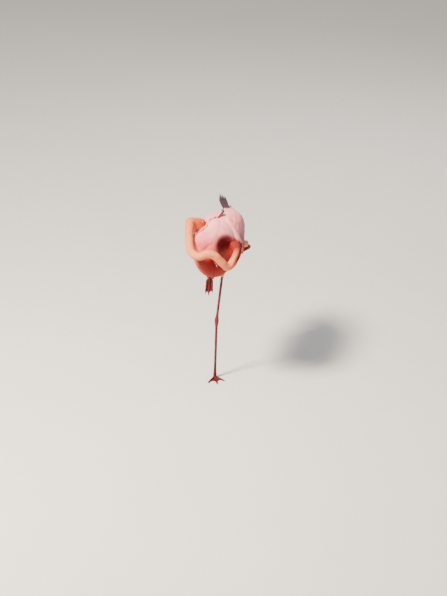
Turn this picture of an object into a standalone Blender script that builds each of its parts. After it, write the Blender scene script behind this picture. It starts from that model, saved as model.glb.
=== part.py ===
"""A life-size flamingo asleep on one leg, with its neck looped round its right side.

Metres, +Z up. The bird faces -Y, so its left side is +X. The places below are drawn round
the line of its standing leg. The finished bird is then moved, so that the origin lies on the
floor, under the middle toe of the foot that it stands on.
"""

import math
import random

import bmesh
import bpy
from mathutils import Matrix, Vector

# Clearance between pieces that touch, and how far a part is sunk before it is cut flush
GAP = 0.0003
SINK = 0.006

# Trunk: an egg that lies along Y, with its middle here and these half sizes
TRUNK_MIDDLE = Vector((0.022, 0.030, 0.735))
TRUNK_HALF_WIDTH = 0.107
TRUNK_UP = 0.122
TRUNK_DOWN = 0.146
TRUNK_FRONT = 0.205
TRUNK_REAR = 0.230
TRUNK_RUMP_RISE = 0.034
TRUNK_LEAN = 0.100
TRUNK_SIDES = 26
TRUNK_RINGS = 18
KEEL = 1.70
BACK_CURVE = 2.0
# Ends of the trunk: how square they are and how sharply they close, in front and behind
FRONT_CLOSE = (2.3, 0.5)
REAR_CLOSE = (1.9, 0.62)
# The right flank puffs out under the neck: how far, its place along the trunk and its reach
FLANK_PUFF, FLANK_PLACE, FLANK_REACH = 0.040, -0.070, 0.110

# Hollow at the root of the neck, between the shoulders
HOLLOW_MIDDLE = Vector((0.080, -0.138, 0.790))
HOLLOW_REACH = 0.058
HOLLOW_DEPTH = 0.056
HOLLOW_EDGE = 1.3

# Neck: the route of its middle, from the trunk round the right shoulder to the nape
NECK_ROUTE = [
    (0.088, -0.020, 0.765),
    (0.113, -0.112, 0.768),
    (0.100, -0.153, 0.737),
    (0.069, -0.174, 0.706),
    (0.040, -0.191, 0.735),
    (0.005, -0.201, 0.775),
    (-0.030, -0.203, 0.787),
    (-0.072, -0.190, 0.768),
    (-0.110, -0.143, 0.776),
    (-0.117, -0.073, 0.823),
    (-0.116, -0.020, 0.848),
]
NECK_RADIUS = 0.0205
NECK_ROOT_RADIUS = 0.028
NECK_NAPE_RADIUS = 0.0275
NECK_JOINTS = (0.26, 0.42, 0.57, 0.72, 0.87)
NECK_NAPE_RUN = 0.026
NECK_RING_STEP = 0.0125
NECK_SIDES = 12

# Head: its middle and the way it points, tucked down into the feathers of the back
HEAD_MIDDLE = Vector((-0.065, 0.038, 0.8395))
HEAD_FORWARD = Vector((0.78, 0.53, -0.33)).normalized()
HEAD_ROLL = math.radians(-8)
HEAD_NAPE = -0.034
HEAD_FACE = 0.031
HEAD_SIDES = 16
# Rows of the head: place along it, half width, height above its middle and depth below
HEAD_PROFILE = [
    (HEAD_NAPE, 0.0250, 0.0262, 0.0460),
    (-0.024, 0.0256, 0.0270, 0.0500),
    (-0.012, 0.0252, 0.0272, 0.0485),
    (0.000, 0.0236, 0.0262, 0.0420),
    (0.010, 0.0204, 0.0236, 0.0335),
    (0.019, 0.0172, 0.0200, 0.0258),
    (0.026, 0.0150, 0.0164, 0.0204),
    (HEAD_FACE, 0.0140, 0.0144, 0.0186),
]
CHEEK_CURVE = 0.85
EYE_RADIUS = 0.0048
EYE_ALONG = -0.002
EYE_UP = 0.012
EYE_OUT = 0.0184
BILL_LENGTH = 0.105
BILL_BEND = math.radians(62)
# The bend starts at this share of the bill's length and takes this share of it
BEND_START, BEND_RUN = 0.30, 0.42
BILL_HALF_WIDTH = 0.0130
BILL_UPPER_HEIGHT = 0.0145
BILL_LOWER_HEIGHT = 0.0145
BILL_KEEL = 0.004
BILL_TIP = 0.0018
BILL_STEPS = 10
# Slits of the nostrils: places along the bill as shares of it, and half their height there
NOSTRIL = ((0.10, 0.0003), (0.15, 0.0008), (0.22, 0.0008), (0.27, 0.0003))
NOSTRIL_OUT = 0.0112
NOSTRIL_UP = 0.0045

# Legs: centre lines of the one it stands on and the one it has folded up
STAND_HIP = Vector((0.047, 0.036, 0.655))
STAND_CUFF = Vector((0.0418, 0.042, 0.566))
STAND_ANKLE = Vector((0.013, 0.058, 0.316))
STAND_HEEL = Vector((0.004, 0.061, 0.022))
STAND_TOE_IN = math.radians(12)
SOLE_MIDDLE = 0.040
FOLD_HIP = Vector((0.088, 0.020, 0.725))
FOLD_CUFF = Vector((0.156, 0.150, 0.686))
FOLD_ANKLE = Vector((0.168, 0.180, 0.655))
FOLD_HEEL = Vector((-0.016, -0.068, 0.606))
FOLD_TOES = Vector((-0.045, -0.10, -1.0)).normalized()
FOLD_SPREAD = 0.10
SHANK_RADIUS = 0.0064
STAND_KNOB = 0.0118
FOLD_KNOB = 0.0128
# Radii of a thigh at the hip and at its end, and of the tibia where it leaves the feathers
STAND_THIGH, STAND_TIBIA = (0.030, 0.0125), 0.0078
FOLD_THIGH, FOLD_TIBIA = (0.036, 0.0185), 0.0125
THIGH_SIDES = 14
ANKLE_REACH = 0.045
HEEL_FLARE = 0.0016
LEG_STEP = 0.016
LEG_SIDES = 10

# Toes: length without claw and angle from straight ahead, for the outer, middle and inner toe
TOES = [("outer", 0.066, 38.0), ("middle", 0.074, 2.0), ("inner", 0.060, -34.0)]
TOE_ROOT_RADIUS = 0.0056
TOE_TIP_RADIUS = 0.0040
TOE_SIDES = 8
TOE_FLATNESS = 0.92
TOE_PAD = 0.0005
SOLE_DEPTH = 0.0006
WEB_THICKNESS = 0.0018
STAND_WEB = (0.24, 0.86)
FOLD_WEB = (0.06, 0.97)
HIND_TOE = 0.012
HIND_RADII = (0.0034, 0.0032, 0.0028, 0.0020)
# Block between the leg and the toes: its radii, and how much a foot's own width adds to each
HUB_RADII = (0.0078, 0.0082, 0.0076, 0.0060)
HUB_WIDENING = (0.3, 0.4, 0.4, 0.4)
# Half the distance between the roots of the toes of each foot
STAND_GAUGE, FOLD_GAUGE = 0.0015, 0.0115
CLAW_LENGTH = 0.010
CLAW_RADIUS = 0.0026
CLAW_LIFT = 0.0007
CLAW_TIP = 0.0006

# Wings: the coat of feathers over each side, as it lies over the trunk
CLOAK_REAR = 0.330
LEFT_DRIFT, LEFT_RISE = 0.034, 0.034
RIGHT_DRIFT, RIGHT_RISE = -0.004, -0.034
# How far the coat stands off the trunk all over, and swells on it: the height of each, then
# its place along the trunk with its reach, and its place round it with its reach in degrees
LEFT_FULLNESS, RIGHT_FULLNESS = 0.010, 0.009
LEFT_SWELLS = [(0.022, 0.095, 0.085, 50, 30), (0.018, -0.105, 0.050, 78, 30)]
RIGHT_SWELLS = [(0.038, -0.100, 0.086, 67, 36)]
# Dent in the right side, where the head rests: the share that is taken away, then as above
HEAD_REST = (0.88, -0.010, 0.060, 36, 21)
# Where the smooth arm of each wing starts and ends along the trunk
LEFT_ARM, RIGHT_ARM = (-0.135, 0.150), (-0.160, 0.140)
ARM_STATIONS, ARM_ACROSS = 15, 9

# Feathers: thickness of a vane, height of its rib, fall of its edges and lean on its neighbour
VANE_THICKNESS = 0.0009
VANE_RIB = 0.0005
VANE_DROOP = 0.05
VANE_TILT = math.radians(8)
VANE_SECTIONS = 4
SEED = 5

# Tiers of feathers on a folded wing, from the lowest to the uppermost: how many, the first and
# the last of their places round from the back in degrees, the place of their roots along the
# trunk, length at the first and at the last, width, height over the wing and the turn of the
# tips towards the back, in degrees
LEFT_TIERS = [
    (9, 28, 102, 0.070, 0.185, 0.105, 0.030, 0.0000, 7),
    (8, 40, 106, 0.010, 0.100, 0.090, 0.029, 0.0020, 6),
    (6, 50, 100, -0.045, 0.080, 0.074, 0.028, 0.0040, 4),
    (5, 25, 50, -0.005, 0.135, 0.120, 0.030, 0.0060, 12),
]
RIGHT_TIERS = [
    (9, 16, 102, 0.060, 0.146, 0.104, 0.033, 0.0000, 7),
    (7, 46, 108, 0.000, 0.100, 0.090, 0.031, 0.0020, 6),
    (6, 52, 104, -0.060, 0.080, 0.074, 0.030, 0.0040, 4),
    (5, 14, 48, 0.040, 0.102, 0.094, 0.030, 0.0060, 10),
]
ROOT_DEPTH = 0.007

# Flight feathers that cross behind the back: root and tip of the middle one, and their fan
PRIMARIES = {
    "left": (Vector((0.080, 0.122, 0.842)), Vector((0.027, 0.300, 0.872)), Vector((0.3, 0, 1))),
    "right": (Vector((-0.030, 0.135, 0.806)), Vector((0.078, 0.298, 0.812)),
              Vector((-0.2, 0, 1))),
}
PRIMARY_COUNT = 5
PRIMARY_WIDTH = 0.014
PRIMARY_FAN = math.radians(4)
PRIMARY_PITCH = 0.0019
PRIMARY_STEP = 0.0030
PRIMARY_SHAPE = (0.45, 0.80, 1.00, 0.20)
# The block that they grow from: places along it and its radius at each
PRIMARY_BLOCK = [(-0.004, 0.0050), (0.004, 0.0105), (0.018, 0.0095), (0.026, 0.0040)]

# Tail: the place and the way of its fleshy root, and the fan of its feathers
TAIL_ROOT = Vector((0.028, 0.205, 0.772))
TAIL_WAY = Vector((0.03, 1.0, -0.10)).normalized()
TAIL_COUNT = 12
TAIL_LENGTH = 0.125
TAIL_WIDTH = 0.019
TAIL_FAN = math.radians(44)
TAIL_PITCH = 0.0017
TAIL_SHAPE = (0.50, 0.86, 1.00, 0.40)
TAIL_ROOT_SPREAD = 0.016
# Fleshy root: places along it and half its width at each
TAIL_FLESH = [(0, 0.020), (0.020, 0.030), (0.045, 0.024), (0.062, 0.010)]
# Shorter feathers over them: how many, length, width and height over the others
TAIL_COVERTS = (5, 0.0775, 0.023, 0.0045)

# Colours, as red, green and blue from 0 to 1
PALE_PINK = (0.90, 0.62, 0.60)
ROSE = (0.85, 0.42, 0.38)
ORANGE = (0.88, 0.40, 0.24)
CRIMSON = (0.42, 0.08, 0.09)
DARK_SHANK = (0.24, 0.09, 0.10)
BLACK_HORN = (0.03, 0.025, 0.03)
BONE_PINK = (0.80, 0.55, 0.48)
EYE_YELLOW = (0.75, 0.60, 0.25)


def clear_scene():
    """Empties the scene, so that the script can be run again."""
    for thing in list(bpy.data.objects):
        bpy.data.objects.remove(thing, do_unlink=True)


def material(name, colour, roughness):
    """A plain finish in one colour."""
    finish = bpy.data.materials.new(name)
    finish.use_nodes = True
    shader = finish.node_tree.nodes["Principled BSDF"]
    shader.inputs["Base Color"].default_value = (*colour, 1.0)
    shader.inputs["Roughness"].default_value = roughness
    return finish


def add_object(name, mesh):
    """An object for the mesh, linked into the bird's collection."""
    thing = bpy.data.objects.new(name, mesh)
    bird.objects.link(thing)
    return thing


def solid(name, points, faces):
    """A closed object from points and faces, with its faces turned outwards."""
    mesh = bpy.data.meshes.new(name)
    form = bmesh.new()
    corners = [form.verts.new(point) for point in points]
    for face in faces:
        form.faces.new([corners[i] for i in face])
    bmesh.ops.recalc_face_normals(form, faces=form.faces)
    form.to_mesh(mesh)
    form.free()
    return add_object(name, mesh)


def loft(name, rings, strip=False):
    """Joins rings with the same number of points. A flat ring is closed across, as a strip."""
    count = len(rings[0])
    points = [point for ring in rings for point in ring]
    faces = []
    for row in range(len(rings) - 1):
        for i in range(count):
            a, b = row * count + i, row * count + (i + 1) % count
            faces += [(a, b, b + count), (a, b + count, a + count)]
    for first in (0, count * (len(rings) - 1)):
        if strip:
            for i in range(count // 2 - 1):
                a, b = first + i, first + count - 1 - i
                faces += [(a, a + 1, b), (a + 1, b - 1, b)]
            continue
        middle = len(points)
        points.append(sum(points[first:first + count], Vector()) / count)
        for i in range(count):
            faces.append((middle, first + i, first + (i + 1) % count))
    return solid(name, points, faces)


def smooth_route(points, step):
    """Evenly spaced points on a smooth curve through the given ones."""
    knots = [Vector(point) for point in points]
    knots = [2 * knots[0] - knots[1]] + knots + [2 * knots[-1] - knots[-2]]
    fine = []
    for a, b, c, d in zip(knots, knots[1:], knots[2:], knots[3:]):
        for i in range(24):
            t = i / 24
            fine.append(0.5 * (2 * b + (c - a) * t + (2 * a - 5 * b + 4 * c - d) * t * t
                               + (3 * b - a - 3 * c + d) * t ** 3))
    fine.append(knots[-2])
    along = [0.0]
    for a, b in zip(fine, fine[1:]):
        along.append(along[-1] + (b - a).length)
    count = max(2, round(along[-1] / step))
    route, k = [], 0
    for i in range(count + 1):
        goal = along[-1] * i / count
        while k < len(fine) - 2 and along[k + 1] < goal:
            k += 1
        share = (goal - along[k]) / (along[k + 1] - along[k])
        route.append(fine[k].lerp(fine[k + 1], min(1.0, share)))
    return route


def frames(route, up):
    """A tangent, a side and an up direction at each point, turning as little as they can."""
    out = []
    for i, point in enumerate(route):
        tangent = (route[min(i + 1, len(route) - 1)] - route[max(i - 1, 0)]).normalized()
        side = tangent.cross(up).normalized()
        up = side.cross(tangent).normalized()
        out.append((tangent, side, up))
    return out


def tube_rings(route, radii, sides, up=Vector((0, 0, 1)), flat=1.0):
    """Round sections along a route, their height being flat times their width."""
    rings = []
    for point, radius, (_, side, rise) in zip(route, radii, frames(route, up)):
        ring = []
        for i in range(sides):
            turn = 2 * math.pi * (i + 0.5) / sides
            ring.append(point + side * radius * math.cos(turn)
                        + rise * radius * flat * math.sin(turn))
        rings.append(ring)
    return rings


def tube(name, route, radii, sides, up=Vector((0, 0, 1)), flat=1.0):
    """A tapering tube along a route."""
    return loft(name, tube_rings(route, radii, sides, up, flat))


def part_tube(names, route, rings, joints):
    """Divides a tube at some of its rings into lengths that meet face to face."""
    ends = [0] + joints + [len(route) - 1]
    pieces = []
    for name, first, last in zip(names, ends, ends[1:]):
        part = [[point.copy() for point in ring] for ring in rings[first:last + 1]]
        for ring, here, other in ((part[0], first, first + 1), (part[-1], last, last - 1)):
            inward = (route[other] - route[here]).normalized() * GAP / 2
            for point in ring:
                point += inward
        pieces.append(loft(name, part))
    return pieces


def grown(piece, by=GAP):
    """A copy of a piece, larger all over by the clearance that cuts leave."""
    copy = piece.data.copy()
    form = bmesh.new()
    form.from_mesh(copy)
    form.normal_update()
    shifts = [(corner, corner.normal * by) for corner in form.verts]
    for corner, shift in shifts:
        corner.co += shift
    form.to_mesh(copy)
    form.free()
    return add_object("cutter", copy)


def keep_largest(piece):
    """Drops every closed surface of a piece but the one with the largest volume."""
    form = bmesh.new()
    form.from_mesh(piece.data)
    left, islands = set(form.faces), []
    while left:
        island, ahead = [], [left.pop()]
        while ahead:
            face = ahead.pop()
            island.append(face)
            for edge in face.edges:
                for other in edge.link_faces:
                    if other in left:
                        left.discard(other)
                        ahead.append(other)
        islands.append(island)

    def volume(island):
        total = 0.0
        for face in island:
            first = face.verts[0].co
            for b, c in zip(face.verts[1:], face.verts[2:]):
                total += first.dot(b.co.cross(c.co)) / 6
        return total

    islands.sort(key=volume, reverse=True)
    loose = [face for island in islands[1:] for face in island]
    bmesh.ops.delete(form, geom=loose, context="FACES")
    bmesh.ops.triangulate(form, faces=form.faces)
    form.to_mesh(piece.data)
    form.free()


def combine(piece, operation, others):
    """Joins closed objects to a piece or cuts them from it, and removes them."""
    pool = bpy.data.collections.new("cutters")
    bpy.context.scene.collection.children.link(pool)
    for other in others:
        bird.objects.unlink(other)
        pool.objects.link(other)
    change = piece.modifiers.new("combine", "BOOLEAN")
    change.operation = operation
    change.operand_type = "COLLECTION"
    change.collection = pool
    change.solver = "EXACT"
    bpy.context.view_layer.objects.active = piece
    bpy.ops.object.modifier_apply(modifier=change.name)
    for other in others:
        bpy.data.objects.remove(other, do_unlink=True)
    bpy.data.collections.remove(pool)
    keep_largest(piece)


def join(piece, others):
    """Joins closed objects to a piece."""
    combine(piece, "UNION", others)


def cut_clear(piece, neighbours):
    """Cuts a piece clear of its neighbours, which keep their shape."""
    combine(piece, "DIFFERENCE", [grown(neighbour) for neighbour in neighbours])


def finish(piece, look, sharp=math.radians(50)):
    """Gives a piece its material and smooth shading."""
    piece.data.materials.clear()
    piece.data.materials.append(look)
    piece.data.shade_smooth()
    piece.data.set_sharp_from_angle(angle=sharp)


def bump(x, middle, reach):
    """A smooth hump, 1 at its middle and falling to a third at its reach."""
    return math.exp(-((x - middle) / reach) ** 2)


def egg_share(s, rear):
    """How full the trunk is, from 1 at its middle to 0 at its ends, s along it from there."""
    if s < 0:
        square, close = FRONT_CLOSE
        return max(0.0, 1 - abs(s / TRUNK_FRONT) ** square) ** close
    square, close = REAR_CLOSE
    return max(0.0, 1 - (s / rear) ** square) ** close


def body_point(s, turn, rear=TRUNK_REAR, drift=0.0, rise=TRUNK_RUMP_RISE):
    """A point of the trunk: s along it, turn from its back towards its left side."""
    full = egg_share(s, rear)
    across, above = math.sin(turn), math.cos(turn)
    power = 2 / (BACK_CURVE if above > 0 else KEEL)
    height = TRUNK_UP if above > 0 else TRUNK_DOWN
    back = max(0.0, s / rear) ** 2
    high = full * height * math.copysign(abs(above) ** power, above)
    wide = full * TRUNK_HALF_WIDTH * math.copysign(abs(across) ** power, across)
    flank = max(0.0, -across) * max(0.0, -above) ** 0.5
    puff = FLANK_PUFF * full * flank * bump(s, FLANK_PLACE, FLANK_REACH)
    wide += puff * across
    high += puff * above
    return TRUNK_MIDDLE + Vector((wide + TRUNK_LEAN * high + drift * back, s, high + rise * back))


def hollowed(point):
    """Presses a point of the trunk in where the neck leaves it."""
    away = (point - HOLLOW_MIDDLE).length / HOLLOW_REACH
    if away >= 1.5:
        return point
    inward = (TRUNK_MIDDLE - HOLLOW_MIDDLE).normalized()
    return point + inward * HOLLOW_DEPTH * math.exp(-(away ** 3) * HOLLOW_EDGE)


def make_trunk():
    """The trunk, with a hollow in front at the root of the neck."""
    rings = []
    for i in range(TRUNK_RINGS + 1):
        swing = math.pi * (0.035 + 0.93 * i / TRUNK_RINGS)
        s = -TRUNK_FRONT * math.cos(swing) if swing < math.pi / 2 else -TRUNK_REAR * math.cos(swing)
        rings.append([hollowed(body_point(s, 2 * math.pi * k / TRUNK_SIDES))
                      for k in range(TRUNK_SIDES)])
    return loft("torso", rings)


def cloak_point(side, s, turn, lift=0.0):
    """A point on the feather coat of a wing, side being 1 for the left and -1 for the right."""
    drift, rise = (LEFT_DRIFT, LEFT_RISE) if side > 0 else (RIGHT_DRIFT, RIGHT_RISE)

    def surface(along, round_):
        point = body_point(along, side * round_, CLOAK_REAR, drift, rise)
        out = Vector((point.x - TRUNK_MIDDLE.x, 0.25 * (point.y - TRUNK_MIDDLE.y),
                      point.z - TRUNK_MIDDLE.z)).normalized()
        return point + out * wing_fullness(side, along, round_)

    step = 0.002
    here = surface(s, turn)
    along = surface(s + step, turn) - surface(s - step, turn)
    round_ = surface(s, turn + step) - surface(s, turn - step)
    normal = along.cross(round_).normalized() * side
    if normal.dot(here - TRUNK_MIDDLE) < 0:
        normal = -normal
    return here + normal * lift, normal


def wing_fullness(side, s, turn):
    """How far the wing stands off the trunk: the right shoulder is pushed out by the neck."""
    full, swells = ((LEFT_FULLNESS, LEFT_SWELLS) if side > 0 else
                    (RIGHT_FULLNESS, RIGHT_SWELLS))
    round_ = math.degrees(turn)
    for height, place, reach, middle, spread in swells:
        full += height * bump(s, place, reach) * bump(round_, middle, spread)
    if side < 0:
        share, place, reach, middle, spread = HEAD_REST
        full *= 1 - share * bump(s, place, reach) * bump(round_, middle, spread)
    return full


def wing_edges(side, s):
    """The upper and lower edge of the folded wing, in degrees round from the back."""
    front = max(0.0, min(1.0, (0.02 - s) / 0.14))
    if side > 0:
        return 12 + 46 * front ** 1.5, 108 - 4 * front
    return 5 - 9 * front, 112 - 4 * front


def make_wing_pad(side, name):
    """The folded arm of a wing as one smooth form over the side of the trunk."""
    start, end = LEFT_ARM if side > 0 else RIGHT_ARM
    rings = []
    for i in range(ARM_STATIONS + 1):
        v = -math.cos(math.pi * (0.06 + 0.88 * i / ARM_STATIONS))
        s = (start + end) / 2 + v * (end - start) / 2
        top, bottom = wing_edges(side, s)
        taper = (1 - v * v) ** 0.5
        outer, inner = [], []
        for k in range(ARM_ACROSS + 1):
            u = 2 * k / ARM_ACROSS - 1
            turn = math.radians((top + bottom) / 2 + u * (bottom - top) / 2 * (0.35 + 0.65 * taper))
            full = wing_fullness(side, s, turn)
            depth = full * (1 - (1 - u * u) ** 0.4 * min(1.0, taper * 1.25)) - 0.001
            outer.append(cloak_point(side, s, turn, -depth)[0])
            inner.append(body_point(s, side * turn) * 0.90 + TRUNK_MIDDLE * 0.10)
        rings.append(outer + inner[::-1])
    return loft(name, rings, strip=True)


def vane(route, ups, width, shape=(0.50, 1.00, 0.90, 0.34), tilt=VANE_TILT):
    """A feather: a thin blade along a route, with a rib down its middle and a narrow tip."""
    rings = []
    for i, (point, up) in enumerate(zip(route, ups)):
        tangent = (route[min(i + 1, len(route) - 1)] - route[max(i - 1, 0)]).normalized()
        side = tangent.cross(up).normalized()
        side.rotate(Matrix.Rotation(tilt, 3, tangent))
        up = side.cross(tangent).normalized()
        half = width / 2 * shape[i]
        thick = up * VANE_THICKNESS / 2
        droop = -up * half * VANE_DROOP
        rings.append([point - side * half + thick + droop, point + thick + up * VANE_RIB,
                      point + side * half + thick + droop, point + side * half - thick + droop,
                      point - thick, point - side * half - thick + droop])
    points = [corner for ring in rings for corner in ring]
    faces = []
    for row in range(len(rings) - 1):
        a, b = row * 6, row * 6 + 6
        faces += [(a, a + 1, b + 1), (a, b + 1, b), (a + 2, b + 2, b + 1), (a + 2, b + 1, a + 1),
                  (a + 5, b + 4, a + 4), (a + 5, b + 5, b + 4),
                  (a + 3, b + 4, b + 3), (a + 3, a + 4, b + 4),
                  (a + 2, a + 3, b + 3), (a + 2, b + 3, b + 2),
                  (a, b, b + 5), (a, b + 5, a + 5)]
    for a in (0, 6 * (len(rings) - 1)):
        faces += [(a, a + 1, a + 5), (a + 1, a + 4, a + 5), (a + 1, a + 2, a + 4),
                  (a + 2, a + 3, a + 4)]
    return solid("vane", points, faces)


def wing_vane(side, s, turn, length, width, height, sweep, draw):
    """One feather of a wing, from its root under the coat to its tip over it."""
    length *= draw.uniform(0.93, 1.07)
    route, ups = [], []
    for i in range(VANE_SECTIONS):
        share = i / (VANE_SECTIONS - 1)
        lift = height + 0.0015 - ROOT_DEPTH * (1 - share) ** 3
        point, up = cloak_point(side, s + length * share, math.radians(turn - sweep * share), lift)
        route.append(point)
        ups.append(up)
    return vane(route, ups, width * draw.uniform(0.94, 1.06), tilt=side * VANE_TILT)


def make_wing(side, name):
    """A folded wing: a smooth arm that the tiers of its feathers grow from."""
    draw = random.Random(SEED + side)
    arm = make_wing_pad(side, name)
    vanes = []
    for tier in LEFT_TIERS if side > 0 else RIGHT_TIERS:
        count, first, last, s, longest, shortest, width, height, sweep = tier
        for i in range(count):
            share = i / (count - 1)
            turn = first + (last - first) * share + draw.uniform(-0.7, 0.7)
            length = longest + (shortest - longest) * share
            place = s + draw.uniform(-0.003, 0.003)
            vanes.append(wing_vane(side, place, turn, length, width, height, sweep, draw))
    join(arm, vanes)
    return arm


def make_primaries(word):
    """The tips of the longest flight feathers, folded one over the other like a fan."""
    draw = random.Random(SEED)
    root, tip, up = PRIMARIES[word]
    way = (tip - root).normalized()
    side = way.cross(up).normalized()
    up = side.cross(way)
    middle = (PRIMARY_COUNT - 1) / 2
    vanes = []
    for i in range(PRIMARY_COUNT):
        swing = PRIMARY_FAN * (i - middle) / middle
        length = (tip - root).length * (1 - 0.10 * abs(i - middle) + 0.03 * i)
        heading = way * math.cos(swing) + side * math.sin(swing)
        start = root + side * PRIMARY_STEP * (i - middle) + up * PRIMARY_PITCH * (i - middle)
        route = [start + heading * length * share + up * 0.010 * share * share
                 for share in (0, 0.34, 0.72, 1)]
        vanes.append(vane(route, [up] * 4, PRIMARY_WIDTH * draw.uniform(0.95, 1.05),
                          shape=PRIMARY_SHAPE, tilt=0))
    block = tube(f"primaries_{word}", [root + way * d for d, _ in PRIMARY_BLOCK],
                 [radius for _, radius in PRIMARY_BLOCK], 8, up=up, flat=0.75)
    join(block, vanes)
    return block


def make_tail():
    """The tail: a fleshy root, twelve feathers in a fan and shorter ones over them."""
    draw = random.Random(SEED)
    side = TAIL_WAY.cross(Vector((0, 0, 1))).normalized()
    up = side.cross(TAIL_WAY)
    root = tube("tail", [TAIL_ROOT + TAIL_WAY * d for d, _ in TAIL_FLESH],
                [radius for _, radius in TAIL_FLESH], 10, up=up, flat=0.55)
    vanes = []
    rows = [(TAIL_COUNT, TAIL_LENGTH, TAIL_WIDTH, 0.0), TAIL_COVERTS]
    for count, length, width, height in rows:
        middle = (count - 1) / 2
        for i in range(count):
            swing = TAIL_FAN / 2 * (i - middle) / middle
            heading = TAIL_WAY * math.cos(swing) + side * math.sin(swing)
            start = (TAIL_ROOT + TAIL_WAY * 0.022 + side * TAIL_ROOT_SPREAD * (i - middle) / middle
                     + up * (height - TAIL_PITCH * abs(i - middle)))
            long = length * draw.uniform(0.96, 1.04)
            route = [start + heading * long * share for share in (0, 0.35, 0.75, 1)]
            vanes.append(vane(route, [up] * 4, width, shape=TAIL_SHAPE, tilt=0))
    join(root, vanes)
    return root


def make_neck():
    """The neck in lengths that meet face to face along its route."""
    nape = [head_point(HEAD_NAPE - NECK_NAPE_RUN, 0, 0), head_point(HEAD_NAPE - GAP / 2, 0, 0)]
    route = smooth_route(NECK_ROUTE + nape, NECK_RING_STEP)
    last = len(route) - 1
    radii = []
    for i in range(last + 1):
        root = max(0.0, 1 - i / (last * 0.16))
        nape = max(0.0, 1 - (last - i) / (last * 0.14))
        radii.append(NECK_RADIUS + (NECK_ROOT_RADIUS - NECK_RADIUS) * root ** 1.5
                     + (NECK_NAPE_RADIUS - NECK_RADIUS) * nape)
    joints = [round(last * share) for share in NECK_JOINTS]
    names = [f"neck_{n + 1}" for n in range(len(joints) + 1)]
    return part_tube(names, route, tube_rings(route, radii, NECK_SIDES), joints)


def head_axes():
    """The head's own directions: forward, left and up."""
    forward = HEAD_FORWARD
    left = Vector((0, 0, 1)).cross(forward).normalized()
    up = forward.cross(left)
    turn = Matrix.Rotation(HEAD_ROLL, 3, forward)
    return forward, turn @ left, turn @ up


def head_point(along, left, up):
    """A point given along, left of and above the middle of the head."""
    f, l, u = head_axes()
    return HEAD_MIDDLE + f * along + l * left + u * up


def head_ring(along, half_width, top, bottom, sides=HEAD_SIDES):
    """One section of the head or bill, flatter at the cheeks than a circle."""
    ring = []
    for i in range(sides):
        turn = 2 * math.pi * (i + 0.5) / sides
        across, above = math.cos(turn), math.sin(turn)
        height = top if above > 0 else bottom
        ring.append(head_point(along, half_width * math.copysign(abs(across) ** CHEEK_CURVE, across),
                               height * above))
    return ring


def make_eye(side, name):
    """One eyeball, set in the side of the head."""
    bpy.ops.mesh.primitive_uv_sphere_add(segments=14, ring_count=8, radius=EYE_RADIUS)
    eye = bpy.context.object
    eye.name = eye.data.name = name
    for home in list(eye.users_collection):
        home.objects.unlink(eye)
    bird.objects.link(eye)
    place = head_point(EYE_ALONG, side * EYE_OUT, EYE_UP)
    eye.data.transform(Matrix.Translation(place))
    return eye


def make_lids(side):
    """The rim of both lids round one eye."""
    forward, left, up = head_axes()
    centre = head_point(EYE_ALONG, side * (EYE_OUT + 0.0016), EYE_UP)
    out = (left * side + up * 0.12).normalized()
    rings = []
    for i in range(14):
        swing = 2 * math.pi * i / 14
        spoke = forward * math.cos(swing) * 1.18 + up * math.sin(swing) * 0.92
        rings.append([centre + spoke * (EYE_RADIUS - 0.0004 + 0.0012 * math.cos(t))
                      + out * 0.0012 * math.sin(t) for t in (0.0, 1.57, 3.14, 4.71)])
    points = [point for ring in rings for point in ring]
    faces = []
    for row in range(14):
        for k in range(4):
            a, b = row * 4 + k, row * 4 + (k + 1) % 4
            c, d = (b + 4) % 56, (a + 4) % 56
            faces += [(a, b, c), (a, c, d)]
    return solid("lid", points, faces)


def make_head():
    """The head from the nape to the base of the bill, with lids round its eyes."""
    return loft("head", [head_ring(*row) for row in HEAD_PROFILE])


def bill_frame(share):
    """Middle and directions of the bill at a share of its length, as it bends down."""
    forward, left, up = head_axes()
    bend = BILL_BEND * min(1.0, max(0.0, (share - BEND_START) / BEND_RUN))
    return forward * math.cos(bend) - up * math.sin(bend), left, (
        up * math.cos(bend) + forward * math.sin(bend))


def make_bill(upper, name):
    """One half of the bill, bent down in its middle, with a slit of a gap to the other."""
    point = head_point(HEAD_FACE + GAP, 0, -0.002)
    rings = []
    for i in range(BILL_STEPS + 1):
        share = i / BILL_STEPS
        forward, left, up = bill_frame(share)
        if i:
            point = point + forward * BILL_LENGTH / BILL_STEPS
        width = BILL_HALF_WIDTH * (1 - 0.45 * share) * (1 - share ** 6) + BILL_TIP
        near = GAP / 2 + 0.0001
        if upper:
            far = BILL_UPPER_HEIGHT * (1 - 0.62 * share) * (1 - share ** 5) + BILL_TIP
        else:
            deep = BILL_LOWER_HEIGHT + BILL_KEEL * math.sin(math.pi * share)
            near, far = -near, -deep * (1 - 0.45 * share) * (1 - share ** 5) - BILL_TIP
        ring = []
        for k in range(9):
            turn = math.pi * k / 8
            ring.append(point + left * width * math.cos(turn)
                        + up * (near + (far - near) * math.sin(turn) ** 0.9))
        rings.append(ring)
    return loft(name, rings)


def make_nostrils():
    """Cutters for the two slits near the base of the upper bill."""
    cutters = []
    for side in (1, -1):
        rings = []
        for share, half in NOSTRIL:
            forward, left, up = bill_frame(share)
            along = HEAD_FACE + GAP + BILL_LENGTH * share
            middle = head_point(along, side * NOSTRIL_OUT, NOSTRIL_UP)
            rings.append([middle + left * a + up * b for a, b in
                          ((-0.004, -half), (0.004, -half), (0.004, half), (-0.004, half))])
        cutters.append(loft("nostril", rings))
    return cutters


def swell(distance, thin, thick, reach):
    """Radius of a leg at a distance from its joint, where it is thickest."""
    share = max(0.0, 1 - distance / reach)
    return thin + (thick - thin) * share * share * (3 - 2 * share)


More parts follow.
